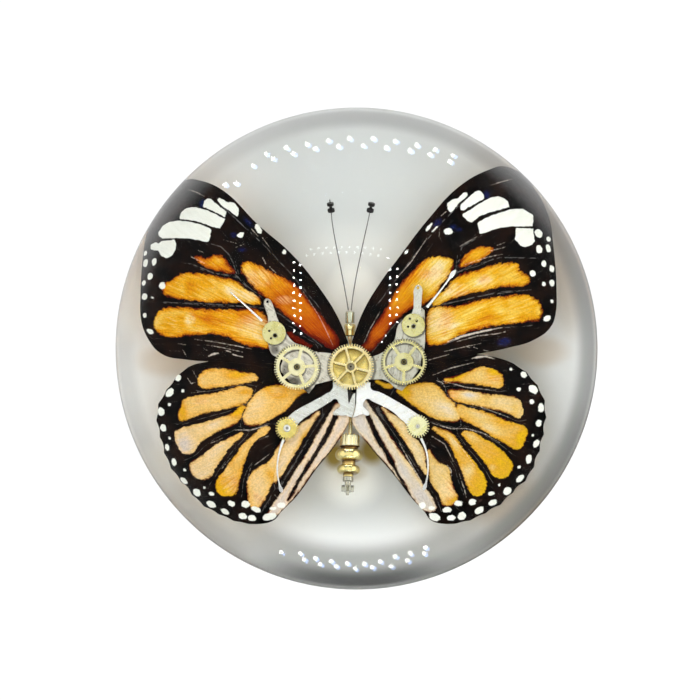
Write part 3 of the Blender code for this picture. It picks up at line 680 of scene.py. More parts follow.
nickel = ground_nickel("nickel", (0.78, 0.73, 0.62), 0.3, 0.6, 0.45, LEFT_SHADE_SPOTS, LEFT_SHADOWS, 0.66)
grey_nickel = ground_nickel("grey_nickel", (0.66, 0.64, 0.54), 0.3, -1.45, 0.6, RIGHT_SHADE_SPOTS,
                            RIGHT_SHADOWS, 0.7)
lever_nickel = ground_nickel("lever_nickel", (0.8, 0.81, 0.77), 0.28, 0.45, 0.3, worn=0.85)
bright_nickel = ground_nickel("bright_nickel", (1.0, 1.0, 0.98), 0.3, -0.5, 0.25, worn=0.94)
arm_nickel = ground_nickel("arm_nickel", (0.74, 0.73, 0.66), 0.25, -1.3, 0.3, RIGHT_SHADE_SPOTS)

bright_steel = steel("bright_steel", (0.93, 0.93, 0.92), 0.2)
tube_steel = steel("tube_steel", (0.62, 0.63, 0.48), 0.2)
dark_steel = steel("dark_steel", (0.045, 0.042, 0.04), 0.35)
pinion_steel = steel("pinion_steel", (0.6, 0.58, 0.48), 0.15)
wire_steel = steel("wire_steel", (0.2, 0.2, 0.19), 0.3)
olive_steel = steel("olive_steel", (0.035, 0.028, 0.008), 0.35)
# Painted rings of highlight and shade on the pins' tops, darkest at the middle.
BROWN_RINGS, BROWN = [(0.0, 0.02), (0.14, 0.03), (0.19, 0.26), (0.28, 0.16), (0.36, 0.1)], (1.0, 0.82, 0.4)
CENTRE_RINGS = [(0.0, 0.02), (0.15, 0.03), (0.2, 0.4), (0.3, 0.2), (0.42, 0.4)]
left_pivot = pivot_steel("left_pivot", LEFT, BROWN_RINGS, BROWN)
right_pivot = pivot_steel("right_pivot", RIGHT, BROWN_RINGS, BROWN)
centre_pivot = pivot_steel("centre_pivot", CENTRE, CENTRE_RINGS, (1.0, 0.88, 0.6))
left_collar = pivot_steel("left_collar", GEAR_LEFT, [(0.0, 0.3), (0.19, 0.35), (0.24, 0.95), (0.45, 0.95)])
right_collar = pivot_steel("right_collar", GEAR_RIGHT,
                           [(0.0, 0.4), (0.12, 0.45), (0.17, 0.95), (0.25, 0.9)])
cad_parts["body_core"].material_slots[0].material = dark_steel

# %% [markdown]
# ## Plates
#
# The bridges and levers are stamped and ground plates. Their outlines are the same as the solids', and
# the section carried round them gives the narrow rounded edge that catches the light.

# %% Bridges, arm and levers
BRIDGE_LEFT = [
    (-2.6, -0.9, "corner"), (-3.6, -0.65), (-5.6, -0.4), (-7.6, 0.5), (-8.5, 0.8), (-9.6, 2.05),
    (-10.6, 3.6), (-11.3, 5.5), (-11.75, 6.55), (-12.2, 6.88), (-12.65, 6.4), (-12.4, 5.2),
    (-12.1, 4.1), (-12.3, 2.0), (-12.0, 0.3), (-11.7, -0.6), (-11.1, -1.1), (-10.2, -1.5),
    (-10.45, -2.8), (-9.9, -3.6), (-8.6, -4.95), (-7.2, -5.6, "corner"), (-6.5, -6.15, "corner"),
    (-5.6, -4.95, "corner"), (-3.6, -4.4), (-2.6, -4.3, "corner"),
]
BRIDGE_RIGHT = [
    (1.3, -1.3, "corner"), (2.0, -1.15), (3.5, -0.55), (4.6, 0.4), (5.2, 1.3), (5.7, 3.2),
    (6.35, 3.95), (7.2, 4.6), (7.95, 5.15, "corner"), (8.7, 5.75, "corner"),
    (9.3, 5.2, "corner"), (9.38, 2.5), (9.3, 0.2), (8.85, -1.5), (8.75, -2.4), (7.8, -3.9),
    (6.9, -5.0), (6.2, -5.8, "corner"), (5.2, -5.3), (4.4, -4.6), (3.5, -4.2, "corner"),
    (1.3, -4.3, "corner"),
]
LEVER_LEFT = [
    (-1.4, -4.6, "corner"), (-3.2, -4.6, "corner"), (-3.3, -5.5), (-4.4, -6.3), (-6.0, -7.2),
    (-7.5, -8.0), (-8.75, -8.8), (-9.9, -9.9), (-10.5, -11.0), (-9.7, -12.0), (-8.6, -11.5),
    (-7.9, -10.2), (-7.1, -9.5), (-5.4, -8.4), (-3.6, -7.3), (-2.85, -6.87), (-2.5, -7.3),
    (-2.25, -7.85), (-2.9, -8.4), (-3.2, -8.9), (-2.6, -9.12), (-1.5, -9.15),
    (-0.65, -9.4, "corner"), (-0.3, -8.3), (-0.15, -6.0, "corner"), (-0.5, -6.2, "corner"),
    (-1.07, -7.6, "corner"), (-1.25, -5.5, "corner"),
]
LEVER_RIGHT = [
    (0.0, -4.6, "corner"), (-0.02, -6.5), (-0.18, -8.3), (-0.5, -9.4, "corner"), (0.8, -8.97),
    (1.6, -9.1), (1.75, -8.9), (1.3, -8.25), (0.9, -7.8), (1.1, -7.15), (1.45, -6.87), (2.2, -7.2),
    (3.4, -7.8), (4.9, -8.6), (6.0, -9.6), (6.75, -10.3), (7.4, -11.2), (8.5, -11.7), (9.4, -11.0),
    (9.2, -9.8), (7.8, -8.6), (5.5, -7.2), (3.2, -5.95), (2.0, -5.5), (1.9, -4.6, "corner"),
]
ARM_RIGHT = [
    (8.0, 1.9), (6.6, 2.9), (7.2, 4.2), (7.75, 5.3), (7.85, 6.6), (8.0, 8.4), (8.47, 8.75),
    (8.95, 8.4), (8.97, 7.0), (8.9, 5.4), (9.05, 3.9), (8.9, 2.4),
]
TIP_HOLE = 0.18
plate("bridge_plate_left", "bridge_left", nickel,
      [smooth_loop(BRIDGE_LEFT), ring((-12.2, 6.4), TIP_HOLE)])
plate("bridge_plate_right", "bridge_right", grey_nickel, [smooth_loop(BRIDGE_RIGHT)])
plate("arm_plate_right", "arm_right", arm_nickel,
      [smooth_loop(ARM_RIGHT), ring((8.45, 8.35), TIP_HOLE)], 0.04)
plate("lever_plate_left", "lever_left", lever_nickel, [smooth_loop(LEVER_LEFT)])
plate("lever_plate_right", "lever_right", bright_nickel, [smooth_loop(LEVER_RIGHT)])

# %% Hands
HANDS = {
    "upper_left": [(-12.9, 3.75, 0.17), (-15.0, 5.7, 0.12), (-17.3, 7.75, 0.08)],
    "upper_right": [
        (9.62, 5.62, 0.2), (11.0, 7.3, 0.14), (12.7, 9.55, 0.16), (13.2, 10.25, 0.32),
        (13.6, 10.75, 0.1),
    ],
    "lower_left": [
        (-9.95, -12.35, 0.2), (-10.55, -14.2, 0.13), (-10.85, -16.6, 0.12), (-10.55, -18.7, 0.13),
        (-10.35, -19.4, 0.26), (-10.25, -19.75, 0.1),
    ],
    "lower_right": [
        (8.8, -12.2, 0.2), (9.5, -13.9, 0.13), (9.78, -16.0, 0.12), (9.55, -18.3, 0.13),
        (9.3, -19.1, 0.26), (9.2, -19.45, 0.1),
    ],
}


def hand_outline(line):
    """The middle line moved to both sides by its half-widths, with square ends."""
    line = np.array(line)
    along = np.gradient(line[:, :2], axis=0)
    along /= np.linalg.norm(along, axis=1, keepdims=True)
    across = np.stack([-along[:, 1], along[:, 0]], 1) * line[:, 2:]
    sides = np.concatenate([line[:, :2] + across, (line[:, :2] - across)[::-1]]).tolist()
    ends = (0, len(line) - 1, len(line), 2 * len(line) - 1)
    return [(*p, "corner") if i in ends else tuple(p) for i, p in enumerate(sides)]


for place, line in HANDS.items():
    plate(f"steel_hand_{place}", f"hand_{place}", bright_steel,
          [smooth_loop(hand_outline(line))], 0.04)

# %% [markdown]
# ## Wheels
#
# A watch wheel is a thin brass disc with fine teeth, cut away between its spokes. Its outlines are the
# teeth, one window for each gap between two spokes, and the bore, and the same plate section goes round
# all of them.

# %% Wheels
TOOTH_PLACES, FLANK_DROP = np.array([-0.28, -0.2, -0.12, 0.12, 0.2, 0.28]), 0.06
RIM_STEPS, HUB_STEPS = 24, 12


def toothed(centre, tip, root, teeth):
    """Six points a tooth: root, flank, tip, tip, flank, root, at their places in its share of a turn."""
    flank = tip - FLANK_DROP
    reach = np.array([root, flank, tip, tip, flank, root])
    angle = ((np.arange(teeth)[:, None] + TOOTH_PLACES[None]) * 2 * np.pi / teeth).ravel()
    radius = np.tile(reach, teeth)
    return polar(centre, radius, angle)


def windows(centre, rim, hub, spokes, half_width, turn):
    """Between two spokes: an arc of the rim one way and an arc of the hub back."""
    loops = []
    for i in range(spokes):
        first = math.radians(turn) + 2 * math.pi * i / spokes
        last = first + 2 * math.pi / spokes
        rim_inset, hub_inset = math.asin(half_width / rim), math.asin(half_width / hub)
        angle = np.concatenate([np.linspace(first + rim_inset, last - rim_inset, RIM_STEPS),
                                np.linspace(last - hub_inset, first + hub_inset, HUB_STEPS)])
        radius = np.repeat([rim, hub], [RIM_STEPS, HUB_STEPS])
        loops.append(polar(centre, radius, angle))
    return loops


WHEEL_TEETH, WHEEL_EDGE = 54, 0.07
# Centre, tip, root, bore, finish, and the windows: rim, hub, spokes, a spoke's half-width and its turn.
WHEELS = {
    "centre_wheel": (CENTRE, 3.2, 2.86, 0.5, wheel_brass, (2.5, 0.8, 6, 0.15, 105.0)),
    "wheel_left": (LEFT, 3.16, 2.86, 0.45, cream_wheel, (2.42, 1.2, 5, 0.21, 76.0)),
    "wheel_right": (RIGHT, 3.16, 2.88, 0.45, green_wheel, (2.6, 1.3, 5, 0.2, 53.0)),
}
for node, (centre, tip, root, bore, finish, cut_out) in WHEELS.items():
    outlines = [toothed(centre, tip, root, WHEEL_TEETH), *windows(centre, *cut_out), ring(centre, bore)]
    plate(f"{node}_brass", node, finish, outlines, WHEEL_EDGE)

GEAR_TIP, GEAR_ROOT, GEAR_TEETH, GEAR_EDGE = 1.62, 1.3, 26, 0.06
GEARS = {"gear_left": (GEAR_LEFT, 0.5, gear_brass), "gear_right": (GEAR_RIGHT, 0.3, pale_gear_brass)}
for node, (centre, bore, finish) in GEARS.items():
    outlines = [toothed(centre, GEAR_TIP, GEAR_ROOT, GEAR_TEETH), ring(centre, bore)]
    plate(f"{node}_brass", node, finish, outlines, GEAR_EDGE)

DISC_HOLE, DISC_BORE = 0.16, 0.32
DISCS = {
    "disc_left": ((-11.35, 2.15), 1.62, (-11.2, 1.78), [(-12.0, 2.42), (-11.75, 1.4)]),
    "disc_right": ((7.82, 3.22), 1.6, (7.87, 3.05), [(7.1, 3.0), (7.35, 4.1), (8.3, 3.8)]),
}
for node, (centre, radius, pivot, holes) in DISCS.items():
    plate(f"{node}_brass", node, green_brass,
          [ring(centre, radius, 96), ring(pivot, DISC_BORE), *[ring(h, DISC_HOLE, 20) for h in holes]])

# %% [markdown]
# ## Arbors and the dished disc
#
# An arbor is the turned steel pin that a wheel sits on. Under the centre wheel lies a dished brass disc,
# whose slope mirrors the lamps on one side and the dark room on the other. Each point of the disc also
# stores how far it lies in the wheel's shadow, for three directions of light, and the finish darkens it
# there: that is what makes the windows of this wheel look so deep.

# %% Arbors
WHEEL_PIN = [(0.38, 0.0), (0.38, 0.27), (0.34, 0.31), (0.18, 0.35), (0.15, 0.6)]
DISC_PIN = [(0.24, 0.0), (0.24, 0.34), (0.1, 0.38), (0.1, 0.5)]
ARBORS = {
    "centre_arbor": (centre_pivot, [(0.42, 0.0), (0.42, 0.42), (0.38, 0.46), (0.2, 0.5), (0.18, 0.72),
                                    (0.14, 0.75)]),
    "arbor_left": (left_pivot, WHEEL_PIN),
    "arbor_right": (right_pivot, WHEEL_PIN),
    "disc_arbor_left": (olive_steel, DISC_PIN),
    "disc_arbor_right": (olive_steel, DISC_PIN),
    "gear_arbor_left": (left_collar, [(0.45, 0.0), (0.45, 0.38), (0.41, 0.41), (0.22, 0.42), (0.22, 0.5)]),
    "gear_arbor_right": (right_collar, [(0.25, 0.0), (0.25, 0.38), (0.22, 0.41), (0.12, 0.42), (0.12, 0.5)]),
}


def upright(name, node, material, rows, count=48):
    """A turned piece that stands in the middle of its solid, from rows of radius and height."""
    low, high = box_mm(node)
    middle = (low + high) / 2
    start = (middle[0], middle[1], low[2])
    profile = [(0.0, rows[0][1]), *rows, (0.0, rows[-1][1])]
    return turned(name, node, material, profile, start, (middle[0], middle[1], high[2]), count)


for node, (finish, rows) in ARBORS.items():
    upright(f"{node}_pin", node, finish, rows)

DISH_RADIUS, DISH_HEIGHT, DISH_FLOOR, DISH_SLOPE_WIDTH = 2.58, 0.25, 0.1, 1.6
t = np.linspace(0, 1, 28)
dish = np.stack([DISH_REACH - DISH_SLOPE_WIDTH * t,
                 DISH_HEIGHT - (DISH_HEIGHT - DISH_FLOOR) * np.sin(t * np.pi / 2)], 1)
dished = upright("dished_disc", "centre_cup", dish_brass,
                 [(DISH_RADIUS, 0.0), (DISH_RADIUS, DISH_HEIGHT), *dish.tolist()], 240)


def depth_in_wheel(offset, rim, hub, spokes, half_width, turn):
    """How deep a point lies in the wheel's metal: the greatest of its depths in rim, hub and spokes."""
    reach = np.linalg.norm(offset, axis=1)
    depths = [reach - rim, hub - reach]
    for angle in math.radians(turn) + 2 * np.pi * np.arange(spokes) / spokes:
        along = offset @ [math.cos(angle), math.sin(angle)]
        across = offset @ [-math.sin(angle), math.cos(angle)]
        depths.append(np.where(along > 0, half_width - np.abs(across), -1.0))
    return np.max(depths, axis=0)


def shadow(offset, shift, softness, strength):
    """Dark where the point moved back along the light's shift lies in the centre wheel's metal."""
    depth = depth_in_wheel(offset - shift, *WHEELS["centre_wheel"][-1])
    return strength * np.clip(0.5 + depth / softness, 0, 1)


places = np.empty(len(dished.data.vertices) * 3)
dished.data.vertices.foreach_get("co", places)
offset = places.reshape(-1, 3)[:, :2] / MM - CENTRE
SHADOWS = [([0.06, -0.22], 0.14, 0.85), ([-0.2, -0.05], 0.3, 0.7), ([0.1, -0.6], 1.1, 1.0)]
shade = np.max([shadow(offset, *look) for look in SHADOWS], axis=0)
dished.data.attributes.new("shade", "FLOAT", "POINT").data.foreach_set("value", shade.astype(np.float32))

# %% [markdown]
# ## Head, antennae and tail
#
# The body's two ends are turned pieces. The head is a brass ferrule on a thin neck with a steel tube in
# its front, and the tail is a fluted brass drum with two beads and a steel pinion. Their flutes and
# leaves are a depth taken off the radius as the profile goes round.

# %% Head and tail
HEAD_BASE = np.array([-0.88, 0.3, 7.4])
FORWARD = np.array([0.0, 1.0, 0.0])
FERRULE = [
    (0.0, 0.0), (0.19, 0.0), (0.22, 0.3), (0.36, 1.35), (0.68, 1.42), (0.72, 1.47), (0.72, 2.23),
    (0.74, 2.27), (0.78, 2.33), (0.78, 2.75), (0.74, 2.82), (0.6, 3.0), (0.0, 3.0),
]
TUBE = [(0.0, 0.0), (0.5, 0.0), (0.57, 0.03), (0.6, 0.1), (0.6, 1.45), (0.57, 1.52), (0.5, 1.55),
        (0.34, 1.55), (0.32, 1.35), (0.0, 1.35)]
TAIL_START, TAIL_END = np.array([-0.75, -8.7, 7.0]), np.array([-1.22, -19.6, 7.0])
TUBE_PLACE, PINION_PLACE = 3.1, 8.55
FINIAL = [
    (0.0, 0.0), (0.28, 0.0), (0.28, 2.76), (1.14, 2.8), (1.2, 2.83), (1.36, 2.94), (1.38, 3.0),
    (1.38, 4.36), (1.34, 4.42), (1.15, 4.5), (1.15, 4.72), *arc_rows(1.88, 5.53, 0.8), (0.9, 6.4),
    (0.9, 6.9), *arc_rows(1.55, 7.5, 0.57), (0.72, 8.1), (0.7, 8.14), (0.7, 8.45), (0.0, 8.45),
]
PINION = [
    (0.0, 0.0), (0.7, 0.0), (0.72, 0.02), (0.72, 0.5), (0.7, 0.52), (0.42, 0.57), (0.42, 1.08),
    (0.88, 1.12), (0.9, 1.14), (0.9, 1.82), (0.88, 1.84), (0.24, 1.88), (0.2, 2.33), (0.18, 2.35),
    (0.0, 2.35),
]


def flutes(near, far, count, depth, sharpness):
    """Grooves along a stretch of the axis, deepest midway between two ridges."""
    def cut(along, angle):
        wave = (0.5 + 0.5 * np.cos(count * angle)) ** sharpness
        return depth * wave * ((along > near) & (along < far))
    return cut


turned("ferrule", "head_ferrule", head_brass, FERRULE, HEAD_BASE, HEAD_BASE + FORWARD)
tube_start = HEAD_BASE + TUBE_PLACE * FORWARD
turned("tube", "head_tube", tube_steel, TUBE, tube_start, tube_start + FORWARD)
turned("finial", "abdomen_finial", tail_brass, FINIAL, TAIL_START, TAIL_END, 192,
       flutes(2.82, 4.4, 12, 0.16, 2.0))
axis = (TAIL_END - TAIL_START) / np.linalg.norm(TAIL_END - TAIL_START)
pinion_start = TAIL_START + PINION_PLACE * axis
turned("pinion", "abdomen_pinion", pinion_steel, PINION, pinion_start,
       pinion_start + axis, 160, flutes(1.1, 1.86, 8, 0.32, 1.2))

# %% Antennae
ANTENNAE = {
    "left": [(-1.1, 5.1, 7.4), (-1.95, 9.9, 7.75), (-2.95, 15.0, 8.4), (-3.42, 18.55, 8.85)],
    "right": [(-0.7, 5.1, 7.4), (0.0, 9.9, 7.75), (1.05, 15.0, 8.4), (1.8, 18.55, 8.85)],
}
WIRE_RADIUS, KNOB_GAP = 0.07, 0.1
KNOB = [
    (0.0, 0.0), (0.42, 0.0), (0.5, 0.1), (0.5, 0.45), (0.44, 0.52), (0.22, 0.62), (0.2, 0.7),
    (0.22, 0.8), (0.42, 0.9), (0.48, 0.97), (0.48, 1.28), (0.44, 1.33), (0.07, 1.34),
]
KNOB_ENDS = {"left": [(0.07, 1.8), (0.0, 1.8)], "right": [(0.0, 1.36)]}


def wire(name, node, material, points, radius, rows=60, count=12):
    """A round wire: a circle carried along a cubic curve through the points.

    The curve is each coordinate's own cubic through the four points, at even steps between them.
    """
    points = np.array(points)
    knots = np.linspace(0, 1, len(points))
    t = np.linspace(0, 1, rows)
    path = np.stack([np.polyval(np.polyfit(knots, points[:, k], len(points) - 1), t) for k in range(3)], 1)
    along = np.gradient(path, axis=0)
    along /= np.linalg.norm(along, axis=1, keepdims=True)
    side = np.cross(along, [0.0, 0.0, 1.0])
    side /= np.linalg.norm(side, axis=1, keepdims=True)
    up = np.cross(side, along)
    angle = np.linspace(0, 2 * np.pi, count, endpoint=False)
    around = np.cos(angle)[None, :, None] * side[:, None] + np.sin(angle)[None, :, None] * up[:, None]
    body = path[:, None] + radius * around
    return rings_and_poles(name, node, material, body, path[[0, -1]], (1, 2))


for side, points in ANTENNAE.items():
    wire(f"wire_{side}", f"antenna_{side}", wire_steel, points, WIRE_RADIUS)
    ahead = np.array(points[3]) - np.array(points[2])
    ahead[2] = 0.0
    ahead /= np.linalg.norm(ahead)
    knob_start = np.array(points[3]) + KNOB_GAP * ahead
    turned(f"knob_{side}", f"antenna_knob_{side}", dark_steel, KNOB + KNOB_ENDS[side],
           knob_start, knob_start + ahead, 48)
print(len(bpy.data.meshes), "meshes so far")

# %% [markdown]
# ## Wings
#
# The wings are natural: a thin skin of scales on stiff veins. Their pattern is that of a common tiger
# butterfly: orange cells between black veins, a black tip with a white band, and a dotted black margin.
# Each wing is one surface of two parameters, round the margin and out from the root. The pattern isn't
# a picture. Every mark is a smooth outline, and each point of the mesh stores how deep it lies inside
# the nearest orange cell, the nearest white mark and so on. The finish turns those depths into colour,
# so an edge can be ragged like real scales, and it stays sharp however close the view is.

# %% Outlines of the wings
FOREWING_LEFT = [
    (-1.15, 0.95, "corner"), (-2.57, 4.33), (-4.96, 8.13), (-8.87, 12.91), (-13.43, 16.93),
    (-18.54, 22.04), (-22.78, 24.5), (-26.6, 25.9), (-29.6, 25.1), (-31.3, 22.2), (-31.9, 18.0),
    (-31.4, 13.35), (-31.0, 8.0), (-30.6, 4.0), (-29.3, 1.35), (-27.1, -0.75), (-23.2, -1.55),
    (-17.0, -1.9), (-10.0, -2.9), (-1.15, -4.0, "corner"),
]
FOREWING_RIGHT = [
    (-0.65, 0.95, "corner"), (0.93, 5.09), (3.1, 8.78), (5.83, 12.5), (9.74, 17.6),
    (13.98, 22.26), (18.9, 25.6), (22.6, 27.3), (25.4, 27.0), (27.4, 24.2), (28.35, 20.0),
    (28.15, 14.9), (28.1, 8.1), (27.9, 5.2), (27.1, 3.1), (24.5, 1.2), (20.8, 0.1),
    (15.4, -1.0), (9.0, -2.6), (-0.65, -4.0, "corner"),
]
HINDWING_LEFT = [
    (-1.1, -2.5, "corner"), (-8.0, -0.9), (-15.0, -0.7), (-20.2, -1.75), (-23.1, -2.6),
    (-26.0, -5.5), (-27.75, -8.6), (-27.4, -13.0), (-26.3, -16.8), (-24.0, -19.7),
    (-21.9, -22.0), (-19.2, -23.3), (-16.8, -24.15), (-13.2, -24.3), (-11.3, -23.6),
    (-10.4, -22.5), (-8.1, -20.1), (-5.4, -16.3), (-2.9, -13.2), (-0.97, -10.1, "corner"),
]
HINDWING_RIGHT = [
    (-0.65, -2.5, "corner"), (6.0, -1.0), (12.0, -0.8), (15.7, -0.75), (18.8, -1.15),
    (22.0, -2.4), (24.6, -4.8), (26.0, -7.6), (26.0, -11.3), (25.2, -15.2), (24.1, -18.0),
    (21.9, -20.1), (20.4, -21.6), (18.2, -22.8), (16.0, -23.8), (12.2, -24.25), (10.2, -23.6),
    (9.4, -22.5), (7.6, -20.5), (5.1, -17.2), (2.2, -13.8), (-0.7, -10.1, "corner"),
]

# %% [markdown]
# ## Depth inside a mark
#
# The depth of a point inside a closed outline is its distance to the nearest side, positive inside and
# negative outside. For a vein it is the distance to the line, and for a round spot it comes from the
# radius. All points and all sides are compared at once, and points far outside are skipped.

# %% Depths
REACH = 2.0


def to_segments(points, a, b):
    """The distance from each point to each segment: the point's place along it, held within its ends."""
    along = b - a
    offset = points[:, None] - a[None]
    share = np.clip(np.sum(offset * along, 2) / np.sum(along * along, 1), 0, 1)
    return np.linalg.norm(offset - share[..., None] * along, axis=2)


def near_to(points, shape):
    return np.all((points > shape.min(0) - REACH) & (points < shape.max(0) + REACH), axis=1)


def depth_in_loop(points, outline, smooth=True):
    """Distance to the nearest side, positive where a level ray crosses the outline an odd number of times."""
    loop = smooth_loop(outline, 5) if smooth else np.array(outline, float)
    depth = np.full(len(points), -REACH)
    near = near_to(points, loop)
    p, a, b = points[near], loop, np.roll(loop, -1, 0)
    x, y = p[:, :1], p[:, 1:]
    level = (a[:, 1] > y) != (b[:, 1] > y)
    rise = np.where(b[:, 1] == a[:, 1], 1.0, b[:, 1] - a[:, 1])
    crossed = level & (x < a[:, 0] + (b[:, 0] - a[:, 0]) * (y - a[:, 1]) / rise)
    inside = crossed.sum(1) % 2 == 1
    depth[near] = np.where(inside, 1, -1) * to_segments(p, a, b).min(1)
    return depth


def distance_to_line(points, line):
    line = np.array(line, float)[:, :2]
    distance = np.full(len(points), REACH)
    near = near_to(points, line)
    distance[near] = to_segments(points[near], line[:-1], line[1:]).min(1)
    return distance


def depth_in_spot(points, spot):
    """A round or oval spot: x, y, radius, and optionally its other radius and its turn in degrees."""
    x, y, wide, high, turn = (*spot, spot[2], 0.0)[:5] if len(spot) < 5 else spot
    turn = math.radians(turn)
    dx, dy = points[:, 0] - x, points[:, 1] - y
    u = (dx * math.cos(turn) + dy * math.sin(turn)) / wide
    v = (dy * math.cos(turn) - dx * math.sin(turn)) / high
    return (1 - np.hypot(u, v)) * min(wide, high)


def depth_in_stripe(points, line):
    """A tapering stripe: rows of x, y and half-width, with the half-width read at the nearest row."""
    rows = np.array(line, float)
    nearest = np.argmin(np.linalg.norm(points[:, None] - rows[None, :, :2], axis=2), axis=1)
    return rows[nearest, 2] - distance_to_line(points, rows)


# %% [markdown]
# ## The marks
#
# Each orange cell has two tones, near the root and at its far end: 0 is the deepest red and 1 the palest
# cream. The lists go from the front of the wing to the back. Spots are x, y and radius.

